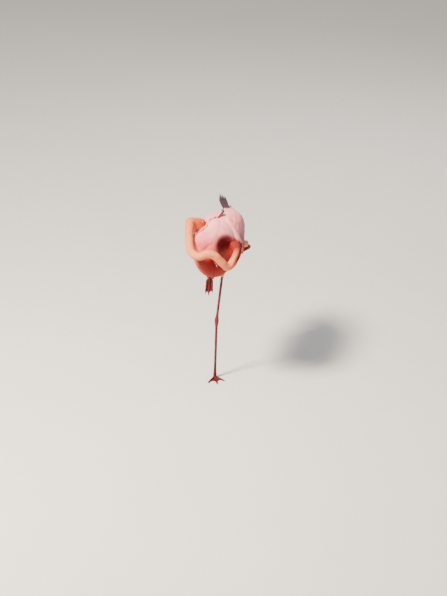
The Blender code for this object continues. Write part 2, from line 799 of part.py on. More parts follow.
def make_leg(side, start, ankle, heel, cuff_radius, knob):
    """The bare leg: a tibia that ends in the knob of the ankle, and a tarsus cut to fit it."""
    down = (ankle - start).normalized()
    length = (ankle - start).length
    steps = round(length / LEG_STEP)
    route, radii = [], []
    for i in range(steps + 1):
        share = i / steps
        route.append(start.lerp(ankle, share))
        feathered = cuff_radius * (1 - share) ** 1.5 + SHANK_RADIUS * share
        radii.append(max(feathered, swell((1 - share) * length, SHANK_RADIUS, knob, ANKLE_REACH)))
    for turn in (0.4, 0.8, 1.15, 1.45):
        route.append(ankle + down * knob * math.sin(turn))
        radii.append(knob * math.cos(turn))
    up = Vector((0.1, 1, 0.1))
    tibia = tube(f"tibia_{side}", route, radii, LEG_SIDES, up=up)

    length = (heel - ankle).length
    steps = round(length / LEG_STEP)
    route = [ankle.lerp(heel, i / steps) for i in range(steps + 1)]
    radii = []
    for i in range(steps + 1):
        flare = HEEL_FLARE * max(0.0, 1 - (steps - i) / steps * length / 0.03)
        radii.append(swell(length * i / steps, SHANK_RADIUS, knob * 0.94, ANKLE_REACH) + flare)
    tarsus = tube(f"tarsus_{side}", route, radii, LEG_SIDES, up=up)
    cut_clear(tarsus, [tibia])
    return [tibia, tarsus]


def make_cuff(name, hip, cuff, wide, narrow):
    """The feathered thigh, most of it hidden in the feathers of the belly."""
    steps = 6
    route = [hip.lerp(cuff, i / steps) for i in range(steps + 1)]
    radii = [narrow + (wide - narrow) * (1 - i / steps) ** 1.4 for i in range(steps + 1)]
    return tube(name, route, radii, THIGH_SIDES, up=Vector((0, 1, 0.1)))


def toe_route(foot, length, angle, steps=6):
    """Points along a toe that spreads at an angle, over the plane of its foot."""
    origin, ahead, across, up, arch, gauge = foot
    spread = math.radians(angle)
    way = ahead * math.cos(spread) + across * math.sin(spread)
    aside = across * gauge * math.copysign(min(1.0, abs(angle) / 3), angle)
    route = []
    for i in range(steps + 1):
        share = i / steps
        apart = 1 - 0.45 * max(0.0, 1 - share * 5) ** 2
        route.append(origin + aside * apart + way * length * share + up * arch(share))
    return route


def toe_radius(share):
    """Radius of a toe at a share of its length."""
    return TOE_ROOT_RADIUS + (TOE_TIP_RADIUS - TOE_ROOT_RADIUS) * share


def on_floor(share):
    """Height of a toe's middle over the floor, which takes a little off its underside."""
    under = toe_radius(share) * TOE_FLATNESS * math.cos(math.pi / TOE_SIDES)
    return under - SOLE_DEPTH + 0.0050 * max(0.0, 1 - share * 6) ** 2


def hanging(share):
    """Bend of a toe that hangs from a folded leg."""
    return 0.004 * share


def make_foot(name, foot, heel, toes, bay, reach):
    """Three webbed toes, a small hind toe and the block that carries them, in one piece."""
    origin, ahead, across, up, _, gauge = foot
    steps = 7
    routes = [toe_route(foot, length, angle, steps) for _, length, angle in toes]
    pieces = []
    for route in routes:
        radii = [toe_radius(i / steps) + TOE_PAD * (i % 2) for i in range(steps + 1)]
        pieces.append(tube("toe", route, radii, TOE_SIDES, up=up, flat=TOE_FLATNESS))
    for first, second in zip(routes, routes[1:]):
        pieces.append(make_web(first, second, up, bay, reach))
    hind = [origin - ahead * (0.002 + HIND_TOE * i / 3) + across * 0.002
            + up * (0.0050 - 0.0012 * i) for i in range(4)]
    pieces.append(tube("toe", hind, HIND_RADII, 6, up=up))
    down = (origin - heel).normalized()
    hub = [heel - down * 0.002, heel + down * 0.006, origin, origin + down * 0.002]
    radii = [radius + gauge * more for radius, more in zip(HUB_RADII, HUB_WIDENING)]
    base = tube(name, hub, radii, LEG_SIDES, up=ahead)
    join(base, pieces)
    return base


def make_web(first, second, up, bay, reach):
    """A thin skin between two toes, with a hollow front edge: its bay and how far it reaches."""
    rows, columns = 5, 4
    layers = []
    for height in (WEB_THICKNESS / 2, -WEB_THICKNESS / 2):
        grid = []
        for j in range(columns + 1):
            v = j / columns
            edge = reach * (1 - bay * math.sin(math.pi * v))
            line = []
            for i in range(rows + 1):
                t = (0.06 + (edge - 0.06) * i / rows) * (len(first) - 1)
                k = min(int(t), len(first) - 2)
                a = first[k].lerp(first[k + 1], t - k)
                b = second[k].lerp(second[k + 1], t - k)
                line.append(a.lerp(b, v) + up * height)
            grid.append(line)
        layers.append(grid)
    rings = [top + under[::-1] for top, under in zip(*layers)]
    return loft("web", rings, strip=True)


def make_claws(side, foot, toes):
    """A claw on the tip of each front toe, which carries on its line to a blunt point."""
    claws = []
    for word, length, angle in toes:
        route = toe_route(foot, length, angle)
        way = (route[-1] - route[-2]).normalized()
        line = [route[-1] + way * (GAP + CLAW_LENGTH * i / 4) + foot[3] * CLAW_LIFT
                for i in range(5)]
        radii = [CLAW_RADIUS * (1 - i / 4) ** 0.8 + CLAW_TIP for i in range(5)]
        claws.append(tube(f"claw_{side}_{word}", line, radii, 6, up=foot[3]))
    return claws


def build():
    """Makes every piece, and cuts each clear of what it grows from or lies against."""
    plumage = material("plumage_pink", PALE_PINK, 0.8)
    neck_plumage = material("plumage_rose", ROSE, 0.8)
    head_plumage = material("plumage_orange", ORANGE, 0.8)
    leg_skin = material("leg_skin", DARK_SHANK, 0.5)
    foot_skin = material("foot_skin", CRIMSON, 0.5)
    horn = material("black_horn", BLACK_HORN, 0.3)
    bill_horn = material("pale_bill", BONE_PINK, 0.35)
    eye_look = material("eye", EYE_YELLOW, 0.1)

    trunk = make_trunk()
    neck = make_neck()
    head = make_head()
    eyes = [make_eye(1, "eye_left"), make_eye(-1, "eye_right")]
    join(head, [make_lids(1), make_lids(-1)])
    cut_clear(head, eyes)
    bill = [make_bill(True, "bill_upper"), make_bill(False, "bill_lower")]

    thigh_right = make_cuff("thigh_right", STAND_HIP, STAND_CUFF, *STAND_THIGH)
    thigh_left = make_cuff("thigh_left", FOLD_HIP, FOLD_CUFF, *FOLD_THIGH)
    stand_start = STAND_CUFF - (STAND_CUFF - STAND_HIP).normalized() * SINK
    stand_leg = make_leg("right", stand_start, STAND_ANKLE, STAND_HEEL, STAND_TIBIA, STAND_KNOB)
    fold_start = FOLD_CUFF - (FOLD_CUFF - FOLD_HIP).normalized() * SINK
    fold_leg = make_leg("left", fold_start, FOLD_ANKLE, FOLD_HEEL, FOLD_TIBIA, FOLD_KNOB)

    ahead = Vector((math.sin(STAND_TOE_IN), -math.cos(STAND_TOE_IN), 0))
    stand = (Vector((STAND_HEEL.x, STAND_HEEL.y, 0)), ahead, Vector((ahead.y, -ahead.x, 0)),
             Vector((0, 0, 1)), on_floor, STAND_GAUGE)
    across = FOLD_TOES.cross(Vector((0, -1, 0))).normalized()
    fold_front = across.cross(FOLD_TOES).normalized()
    folded = (FOLD_HEEL + FOLD_TOES * 0.010 + Vector((-0.004, -0.006, 0)), FOLD_TOES, across,
              fold_front, hanging, FOLD_GAUGE)
    closed_toes = [(word, length, angle * FOLD_SPREAD) for word, length, angle in TOES]
    feet = [make_foot("foot_right", stand, STAND_HEEL, TOES, *STAND_WEB),
            make_foot("foot_left", folded, FOLD_HEEL, closed_toes, *FOLD_WEB)]
    claws = make_claws("right", stand, TOES) + make_claws("left", folded, closed_toes)
    bpy.ops.mesh.primitive_cube_add(size=0.4, location=(0, 0, -0.2))
    floor = bpy.context.object
    for home in list(floor.users_collection):
        home.objects.unlink(floor)
    bird.objects.link(floor)
    combine(feet[0], "DIFFERENCE", [floor])

    wings = [make_wing(1, "wing_left"), make_wing(-1, "wing_right")]
    tail = make_tail()
    tips = [make_primaries("left"), make_primaries("right")]

    legs = [thigh_right, thigh_left, feet[1]] + stand_leg + fold_leg
    for wing in wings:
        cut_clear(wing, [trunk] + neck + [head] + eyes + bill + [thigh_left, fold_leg[0]])
    cut_clear(tail, [trunk] + wings)
    for tip in tips:
        cut_clear(tip, [trunk] + wings)
    cut_clear(trunk, neck + [head] + eyes + bill + legs)
    cut_clear(neck[-1], [head])
    cut_clear(thigh_right, [stand_leg[0], fold_leg[1]])
    cut_clear(thigh_left, [fold_leg[0]])
    cut_clear(feet[0], [stand_leg[1]])
    cut_clear(feet[1], [fold_leg[1]])
    combine(bill[0], "DIFFERENCE", make_nostrils())

    looks = [(plumage, [trunk, tail, thigh_left, thigh_right] + wings), (horn, tips + claws),
             (neck_plumage, neck), (head_plumage, [head]), (eye_look, eyes),
             (bill_horn, bill), (leg_skin, stand_leg + fold_leg), (foot_skin, feet)]
    for look, pieces in looks:
        for piece in pieces:
            finish(piece, look)
    sole = toe_route(stand, SOLE_MIDDLE, TOES[1][2])[-1]
    for piece in bird.objects:
        piece.data.transform(Matrix.Translation((-sole.x, -sole.y, 0)))


clear_scene()
bird = bpy.data.collections.new("flamingo")
bpy.context.scene.collection.children.link(bird)
build()
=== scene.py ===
"""The looks of a life-size flamingo asleep on one leg, built round its solids."""

import math

import bmesh
import bpy
import numpy as np
from mathutils import Matrix, Vector
from mathutils.bvhtree import BVHTree


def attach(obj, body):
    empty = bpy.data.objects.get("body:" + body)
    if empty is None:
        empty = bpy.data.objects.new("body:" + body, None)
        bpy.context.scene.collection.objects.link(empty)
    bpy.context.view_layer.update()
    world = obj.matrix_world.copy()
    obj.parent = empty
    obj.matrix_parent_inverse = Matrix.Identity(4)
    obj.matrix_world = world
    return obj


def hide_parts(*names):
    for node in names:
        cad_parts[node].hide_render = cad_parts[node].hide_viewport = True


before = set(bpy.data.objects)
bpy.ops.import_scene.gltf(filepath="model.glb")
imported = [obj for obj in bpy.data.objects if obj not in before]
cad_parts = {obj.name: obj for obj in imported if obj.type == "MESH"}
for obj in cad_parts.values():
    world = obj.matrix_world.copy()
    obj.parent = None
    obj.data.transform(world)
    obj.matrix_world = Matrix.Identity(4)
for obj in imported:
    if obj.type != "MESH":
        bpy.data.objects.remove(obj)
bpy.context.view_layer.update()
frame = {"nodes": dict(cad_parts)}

# The picture: its size in pixels, what one pixel covers at the bird, and the pixel that shows
# the place where the water met the leg
PICTURE_WIDTH, PICTURE_HEIGHT = 447, 596
PIXEL = 0.0049
LEG_PIXEL = (214.0, 344.5)
WATERLINE = 0.21
CAMERA_RISE = math.radians(25)
CAMERA_DISTANCE = 14.0
SENSOR = 36.0

# Studio: each light's name, place, size, power and colour, and what they and the world give
LIGHTS = [
    ("key", (-2.4, -1.9, 4.4), 0.9, 960, "#FFEEDA"),
    ("fill", (3.2, -3.0, 1.8), 3.0, 20, "#E6EEFF"),
    ("rim", (1.0, 3.4, 2.8), 2.0, 60, "#FFFFFF"),
]
LIGHT_TARGET = Vector((0, 0, 0.7))
WORLD_COLOUR, WORLD_STRENGTH = "#E9ECF2", 0.46
FLOOR_SIZE = 60

# Trunk: an egg that lies along Y. Places are drawn round the line of the standing leg, as the
# solids were, and each finished piece is then moved to the frame's own origin.
TRUNK_MIDDLE = Vector((0.022, 0.030, 0.735))
TRUNK_HALF_WIDTH = 0.107
TRUNK_UP = 0.122
TRUNK_DOWN = 0.146
TRUNK_FRONT = 0.205
TRUNK_REAR = 0.230
TRUNK_RUMP_RISE = 0.034
TRUNK_LEAN = 0.100
KEEL = 1.70
BACK_CURVE = 2.0
# Ends of the trunk: how square they are and how sharply they close, in front and behind
FRONT_CLOSE = (2.3, 0.5)
REAR_CLOSE = (1.9, 0.62)
# The right flank puffs out under the neck: how far, its place along the trunk and its reach
FLANK_PUFF, FLANK_PLACE, FLANK_REACH = 0.040, -0.070, 0.110
HOLLOW_MIDDLE = Vector((0.080, -0.138, 0.790))
HOLLOW_REACH = 0.058
HOLLOW_DEPTH = 0.056
HOLLOW_EDGE = 1.3

# Neck: the route of its middle, from the trunk round the right shoulder to the nape
NECK_ROUTE = [
    (0.088, -0.020, 0.765),
    (0.113, -0.112, 0.768),
    (0.100, -0.153, 0.737),
    (0.069, -0.174, 0.706),
    (0.040, -0.191, 0.735),
    (0.005, -0.201, 0.775),
    (-0.030, -0.203, 0.787),
    (-0.072, -0.190, 0.768),
    (-0.110, -0.143, 0.776),
    (-0.117, -0.073, 0.823),
    (-0.116, -0.020, 0.848),
]
NECK_RADIUS = 0.0205
NECK_ROOT_RADIUS = 0.028
NECK_NAPE_RADIUS = 0.0275
NECK_NAPE_RUN = 0.026
# Its middle line goes in these steps, and each bone in it swells the neck a little
NECK_STEP = 0.005
NECK_BONE, NECK_JOINT = 0.042, 0.0005

# Head: its middle and the way it points, tucked down into the feathers of the back
HEAD_MIDDLE = Vector((-0.065, 0.038, 0.8395))
HEAD_FORWARD = Vector((0.78, 0.53, -0.33)).normalized()
HEAD_ROLL = math.radians(-8)
HEAD_NAPE = -0.034
HEAD_FACE = 0.031
# Its outline: place along it, half its width, and its height over and under its middle line
HEAD_PROFILE = [
    (HEAD_NAPE - 0.004, 0.0235, 0.0245, 0.0430),
    (-0.024, 0.0256, 0.0270, 0.0500),
    (-0.012, 0.0252, 0.0272, 0.0485),
    (0.000, 0.0236, 0.0262, 0.0420),
    (0.010, 0.0204, 0.0236, 0.0335),
    (0.019, 0.0172, 0.0200, 0.0258),
    (0.026, 0.0150, 0.0164, 0.0204),
    (HEAD_FACE, 0.0140, 0.0144, 0.0186),
]
EYE_RADIUS = 0.0048
EYE_ALONG = -0.002
EYE_UP = 0.012
EYE_OUT = 0.0184
PUPIL_EDGE, IRIS_EDGE = math.radians(21), math.radians(52)
LID_GAP = 0.0007
BILL_LENGTH = 0.105
BILL_BEND = math.radians(62)
BILL_HALF_WIDTH, BILL_DEPTH, BILL_GAPE = 0.0130, 0.0143, 0.00025

# Legs
STAND_HIP = Vector((0.047, 0.036, 0.655))
STAND_CUFF = Vector((0.0418, 0.042, 0.566))
STAND_ANKLE = Vector((0.013, 0.058, 0.316))
STAND_HEEL = Vector((0.004, 0.061, 0.022))
STAND_TOE_IN = math.radians(12)
SOLE_MIDDLE = 0.040
FOLD_HIP = Vector((0.088, 0.020, 0.725))
FOLD_CUFF = Vector((0.156, 0.150, 0.686))
FOLD_ANKLE = Vector((0.168, 0.180, 0.655))
FOLD_HEEL = Vector((-0.016, -0.068, 0.606))
FOLD_TOES = Vector((-0.045, -0.10, -1.0)).normalized()
FOLD_SPREAD = 0.10
SHANK_RADIUS = 0.0064
ANKLE_RADIUS = 0.0118
FOLD_ANKLE_RADIUS = 0.0128
ANKLE_REACH = 0.045
TOES = [("outer", 0.066, 38.0), ("middle", 0.074, 2.0), ("inner", 0.060, -34.0)]
TOE_ROOT_RADIUS = 0.0056
TOE_TIP_RADIUS = 0.0040
# Pads under a toe, how far they swell it, and the scutes over it
TOE_PADS, TOE_PAD, TOE_SCUTES = 3, 0.0006, 17
WEB_THICKNESS = 0.0016
STAND_WEB = (0.24, 0.86)
FOLD_WEB = (0.06, 0.97)
HIND_TOE = 0.012
# Block between the leg and the toes: its radii, and how much a foot's own width adds to each
HUB_RADII = (0.0078, 0.0082, 0.0076, 0.0060)
HUB_WIDENING = (0.45, 0.6, 0.6, 0.5)
# Half the distance between the roots of the toes of each foot
STAND_GAUGE, FOLD_GAUGE = 0.0015, 0.0115
CLAW_LENGTH = 0.010
CLAW_RADIUS, CLAW_SUNK, CLAW_TIP = 0.0027, 0.0015, 0.0004
# Feathered end of each bare leg, the distance between its scutes, and its cap past the ankle
STAND_SLEEVE, FOLD_SLEEVE = 0.0078, 0.0125
SLEEVE_OVERLAP = 0.02
SCUTE_PITCH, SCUTE_DEPTH = 0.0042, 0.00022
KNEE_CAP = 0.0115
FOOT_VOXEL = 0.00085

# Wings: the coat over each side, as it lies over the trunk
CLOAK_REAR = 0.330
LEFT_DRIFT, LEFT_RISE = 0.034, 0.034
RIGHT_DRIFT, RIGHT_RISE = -0.004, -0.034
# How far the coat stands off the trunk all over, and swells on it: the height of each, then
# its place along the trunk with its reach, and its place round it with its reach in degrees
LEFT_FULLNESS, RIGHT_FULLNESS = 0.010, 0.009
LEFT_SWELLS = [(0.022, 0.095, 0.085, 50, 30), (0.018, -0.105, 0.050, 78, 30)]
RIGHT_SWELLS = [(0.038, -0.100, 0.086, 67, 36)]
# Dent in the right side, where the head rests: the share that is taken away, then as above
HEAD_REST = (0.88, -0.010, 0.060, 36, 21)

# Tail: its root, heading, feathers and fan
TAIL_ROOT = Vector((0.028, 0.205, 0.772))
TAIL_WAY = Vector((0.03, 1.0, -0.10)).normalized()
TAIL_LENGTH = 0.125
TAIL_FAN = math.radians(44)
TAIL_PITCH = 0.0017
TAIL_HALF_ROOT = 0.016
# Its rows: how many feathers, their share of its length, width, height and place behind its root
TAIL_ROWS = [(12, 1.0, 0.019, 0.0, 0.022), (9, 0.62, 0.021, 0.0042, 0.022),
             (8, 0.42, 0.020, 0.0078, 0.010), (7, 0.55, 0.021, -0.0052, 0.018)]

# Black flight feathers of each wing: the root and the tip of the middle one, and its upper side
PRIMARIES = {
    "left": (Vector((0.080, 0.122, 0.842)), Vector((0.027, 0.300, 0.872)), Vector((0.3, 0, 1))),
    "right": (Vector((-0.030, 0.135, 0.806)), Vector((0.078, 0.298, 0.812)),
              Vector((-0.2, 0, 1))),
}
PRIMARY_COUNT = 5
PRIMARY_WIDTH = 0.014
PRIMARY_FAN = math.radians(4)
PRIMARY_PITCH, PRIMARY_APART = 0.0019, 0.0030
PRIMARY_CURL = 0.010

# Wing feathers: how far they lie over the coat, how deep their roots are, and their tilt
WING_LIFT, WING_SUNK = 0.0015, 0.0070
WING_TILT = math.radians(8)
# Tiers of feathers on a folded wing, from the lowest to the uppermost: how many, the first and
# the last of their places round from the back in degrees, the place of their roots along the
# trunk, length at the first and at the last, width, height over the wing and the turn of the
# tips towards the back, in degrees
LEFT_TIERS = [
    (16, 22, 102, 0.070, 0.188, 0.108, 0.025, 0.0000, 7),
    (16, 30, 103, 0.036, 0.128, 0.098, 0.023, 0.0012, 7),
    (17, 32, 104, 0.004, 0.094, 0.082, 0.021, 0.0022, 6),
    (18, 33, 104, -0.024, 0.075, 0.066, 0.020, 0.0031, 5),
    (18, 37, 104, -0.047, 0.062, 0.055, 0.018, 0.0039, 5),
    (17, 44, 103, -0.070, 0.052, 0.046, 0.017, 0.0045, 4),
    (8, 20, 54, -0.002, 0.134, 0.118, 0.024, 0.0058, 12),
]
RIGHT_TIERS = [
    (16, 10, 104, 0.060, 0.149, 0.106, 0.026, 0.0000, 7),
    (16, 22, 105, 0.030, 0.114, 0.096, 0.023, 0.0012, 7),
    (16, 34, 105, 0.000, 0.093, 0.084, 0.021, 0.0022, 6),
    (17, 44, 103, -0.030, 0.077, 0.069, 0.020, 0.0031, 5),
    (17, 50, 100, -0.057, 0.064, 0.056, 0.018, 0.0039, 5),
    (15, 58, 97, -0.086, 0.054, 0.048, 0.017, 0.0045, 4),
    (9, 10, 50, 0.040, 0.103, 0.094, 0.023, 0.0058, 10),
]

# Where the rump begins along the trunk, and the thighs: hip, cuff and the radius at each
TRUNK_ROOT_END = 0.205
THIGHS = [(FOLD_HIP, FOLD_CUFF, 0.036, 0.0185), (STAND_HIP, STAND_CUFF, 0.030, 0.0125)]

# Depth of the coat over the skin
BODY_COAT = 0.0062
NECK_COAT = 0.0019
HEAD_COAT = 0.0013
SKIN_VOXEL = 0.0036

# Regions of the skin, each with its own kind of feather: name, slot, spacing, length, width,
# thickness, how far the tips stand off the skin, and the sections of a feather
TRUNK, ARM, NECK, HEAD, THIGH, RUMP = range(6)
REGIONS = {
    TRUNK: ("coat_trunk", "plumage_pink", 0.0043, 0.0320, 0.0105, 0.00030, 0.0052, 5),
    ARM: ("coat_shoulders", "plumage_pink", 0.0040, 0.0250, 0.0092, 0.00030, 0.0046, 5),
    NECK: ("coat_neck", "plumage_rose", 0.0022, 0.0125, 0.0031, 0.00020, 0.0015, 4),
    HEAD: ("coat_head", "plumage_orange", 0.0013, 0.0072, 0.0019, 0.00014, 0.0010, 4),
    THIGH: ("coat_thighs", "plumage_pink", 0.0030, 0.0180, 0.0052, 0.00025, 0.0030, 5),
    RUMP: ("coat_rump", "plumage_pink", 0.0044, 0.0300, 0.0098, 0.00030, 0.0045, 5),
}
# Each region's own rectangle of the map that colours are baked on
SHEETS = {TRUNK: (0.01, 0.01, 0.60, 0.98), ARM: (0.01, 0.01, 0.60, 0.98),
          NECK: (0.63, 0.01, 0.78, 0.98), HEAD: (0.80, 0.60, 0.99, 0.98),
          THIGH: (0.80, 0.01, 0.99, 0.28), RUMP: (0.80, 0.31, 0.99, 0.57)}
# Lengths of the body, and of the head or the rump, that fill a rectangle, and a feather's patch
SHEET_BODY, SHEET_END = 0.5, 0.07
PATCH = 0.003
# A coat piece with more feathers than this is divided in two along its region
MOST_FEATHERS = 5200

# Marks of colour and of painted shade: kind of colour, middle, reach and strength of each, where
# X, Y and Z are metres. The depth marks are painted shade in crimson, over feathers that are
# crimson too in the hollow by the neck's root; the purple-grey marks are painted shade.
COLOUR_AND_SHADE_MARKS = [
    # Painted shade in crimson: the hollow where the neck leaves the trunk, whose feathers are
    # crimson too, and the notch in the neck's bend
    ("depth", (0.066, -0.120, 0.794), 0.048, 1.60),
    ("depth", (0.078, -0.105, 0.758), 0.044, 1.60),
    ("depth", (0.045, -0.150, 0.745), 0.030, 0.90),
    # Painted shade in crimson: under the neck, round the curled feathers and in the crease under
    # the head
    ("depth", (-0.040, -0.170, 0.742), 0.055, 0.55),
    ("depth", (-0.006, -0.172, 0.716), 0.011, 0.85),
    ("depth", (-0.072, -0.010, 0.812), 0.020, 0.70),
    ("rose", (-0.062, -0.150, 0.804), 0.052, 0.86),
    ("rose", (0.005, -0.155, 0.800), 0.045, 0.60),
    ("rose", (-0.046, -0.075, 0.835), 0.030, 0.45),
    ("rose", (0.045, -0.060, 0.862), 0.055, 0.24),
    # Painted shade in crimson: the crease between the neck and the right wing, then low on the
    # breast
    ("depth", (-0.094, -0.110, 0.795), 0.022, 0.60),
    ("depth", (-0.010, -0.170, 0.675), 0.085, 0.62),
    ("rose", (-0.055, -0.165, 0.785), 0.035, 0.50),
    # Painted shade in purple-grey: on the right wing's lower edge and on the shaded side of the
    # left wing
    ("mauve_shade", (0.006, -0.165, 0.812), 0.024, 0.40),
    ("mauve_shade", (0.135, -0.030, 0.790), 0.055, 0.60),
]
MOST_MARK = 0.96
# Warmth of the plumage, from 0 for the palest pink to 1 for the deepest red. It rises towards
# the front of the trunk, where it is below a height, and again in the breast and belly. Low on
# the front of the breast it reaches the darkest reds, which are partly the breast's own orange
# and partly painted shade.
BACK_WARMTH, FRONT_WARMTH = 0.05, 0.26
FRONT_START, FRONT_RUN = -0.02, 0.14
FRONT_TOP, FRONT_FALL = 0.845, 0.07
BELLY_WARMTH, BREAST_WARMTH_AND_SHADE = 0.30, 0.50
BREAST_TOP, BREAST_FALL = 0.772, 0.05
NECK_WARMTH, NAPE_WARMTH, NAPE_START = 0.40, 0.14, 0.60
HEAD_WARMTH, FACE_WARMTH = 0.60, 0.10
THIGH_WARMTH, MOST_ARM_WARMTH = 0.42, 0.26
# Painted shade in crimson on the root of the neck, up to a share of its length, on the side of its
# lower length that faces the left wing, and under the jaw; and crimson on the ankles, partly
# their own red and partly painted shade
ROOT_END, ROOT_FADE = 0.15, 0.08
SHADE, SHADE_START, SHADE_RUN, SHADE_END, SHADE_FADE = 0.94, -0.002, 0.011, 0.22, 0.10
JAW_SHADE, JAW_PLACE, JAW_REACH = 0.55, (-0.016, 0.0, -0.046), 0.020
ANKLE_SHADE, ANKLE_SHADE_REACH = 0.85, 0.030
# The skin's own tint, and a place across a feather that is neither its shaft nor its edge
SKIN_TINT, BESIDE_SHAFT = 0.4, 0.5
# Feathers that curl off the breast: their first and last places, and how far they bow upwards
CURLS = [((-0.022, -0.200, 0.720), (0.002, -0.200, 0.701), -0.003),
         ((-0.016, -0.200, 0.722), (0.006, -0.200, 0.706), 0.002)]
CURL_LIFT, CURL_WIDTH = 0.0062, 0.0062
CURL_TIP_RISE = 0.006
# Darker speckles on the shoulder: middle, reach, strength and the share of feathers without one
SPECKLE_MIDDLE, SPECKLE_REACH = (0.066, -0.020, 0.862), 0.036
SPECKLE_SHADE, SPECKLE_FREE = 0.70, 0.78
# Feathers spread out from here, where the neck springs from the trunk
NECK_SPRING = Vector((0.098, -0.070, 0.772))
SPRING_REACH = 0.150
SPRING_PULL = 2.6
# Roots of feathers: their least distance as a share of the spacing, how many places are tried
# for each, the size of the cells that sort them, their depth in the skin and their swing
CROWDING, DRAWS_A_ROOT, CELL = 0.86, 3.2, 0.0070
ROOT_DEPTH = 0.0010
ROOT_SWING = 0.13
# Bare places: round the folded foot's root, and round each eye as a share of its radius
FOOT_BARE = 0.026
EYE_RING = 1.28
# Sections of a small and of a large feather: shares of its half width and of its thickness
SMALL_SECTION = [(-1.0, 0.0), (0.0, 0.65), (1.0, 0.0), (0.0, -0.35)]
LARGE_SECTION = [(-1.0, 0.0), (-0.55, 0.35), (-0.07, 0.45), (0.0, 1.10), (0.07, 0.45),
                 (0.55, 0.35), (1.0, 0.0), (0.55, -0.35), (0.0, -0.60), (-0.55, -0.35)]

# Sections of each large feather, as shares of its length
ROWS = 12
STEPS = np.linspace(0, 1, ROWS).tolist()

SEED = 11
# Finishes of the skin
PLUMAGE, LEG, FOOT = 0, 1, 2


def linear(code):
    """An sRGB hex colour as linear red, green, blue and alpha."""
    channels = [int(code[i:i + 2], 16) / 255 for i in (1, 3, 5)]
    return [c / 12.92 if c <= 0.04045 else ((c + 0.055) / 1.055) ** 2.4 for c in channels] + [1.0]


def node(tree, kind, inputs=None, **settings):
    """Adds a node with its settings, and sets or links its inputs by name or number."""
    made = tree.nodes.new(kind)
    for name, value in settings.items():
        setattr(made, name, value)
    for key, value in (inputs or {}).items():
        if isinstance(value, bpy.types.NodeSocket):
            tree.links.new(value, made.inputs[key])
        else:
            made.inputs[key].default_value = value
    return made


def start_material(name, roughness, **values):
    """A new material, with the constant values set on its shader's own sockets."""
    finish = bpy.data.materials.new(name)
    finish.use_nodes = True
    tree = finish.node_tree
    shader = tree.nodes["Principled BSDF"]
    shader.inputs["Roughness"].default_value = roughness
    for key, value in values.items():
        shader.inputs[key.replace("_", " ")].default_value = value
    return finish, tree, shader


def mix(tree, share, first, second, blend="MIX"):
    """A colour mixed from two others."""
    inputs = {0: share, 6: first, 7: second}
    return node(tree, "ShaderNodeMix", inputs, data_type="RGBA", blend_type=blend).outputs[2]


def ramp(tree, share, stops):
    """Colours along a share from 0 to 1."""
    made = node(tree, "ShaderNodeValToRGB", {"Fac": share})
    band = made.color_ramp
    while len(band.elements) < len(stops):
        band.elements.new(0.5)
    for element, (place, code) in zip(band.elements, stops):
        element.position = place
        element.color = linear(code)
    return made.outputs["Color"]


def maths(tree, operation, *values):
    """The outcome of one operation on numbers."""
    inputs = dict(enumerate(values))
    return node(tree, "ShaderNodeMath", inputs, operation=operation).outputs[0]


def attribute(tree, name):
    """A value that the mesh carries at each of its points."""
    return node(tree, "ShaderNodeAttribute", attribute_name=name).outputs["Fac"]


def position(tree):
    """The place on the piece, in metres."""
    return node(tree, "ShaderNodeTexCoord").outputs["Object"]


def noise(tree, size_mm, detail=3.0):
    """Noise whose lumps are about this many millimetres across."""
    inputs = {"Vector": position(tree), "Scale": 1000 / size_mm, "Detail": detail}
    return node(tree, "ShaderNodeTexNoise", inputs).outputs["Fac"]


def between(tree, value, **limits):
    """A value turned from one range to another, and kept inside it."""
    inputs = {"Value": value, **{key.replace("_", " "): limit for key, limit in limits.items()}}
    return node(tree, "ShaderNodeMapRange", inputs).outputs["Result"]


def set_bump(tree, shader, height, strength, depth_mm):
    """Raises the surface by a height of up to a depth in millimetres."""
    inputs = {"Height": height, "Strength": strength, "Distance": depth_mm / 1000}
    raised = node(tree, "ShaderNodeBump", inputs)
    tree.links.new(raised.outputs["Normal"], shader.inputs["Normal"])


def barbs(tree):
    """Fine slanting lines of barbs on both sides of a feather's shaft."""
    aside = maths(tree, "ABSOLUTE", attribute(tree, "across"))
    slant = maths(tree, "SUBTRACT", attribute(tree, "run"), maths(tree, "MULTIPLY", aside, 5.0))
    return maths(tree, "SINE", maths(tree, "MULTIPLY", slant, 3.4))


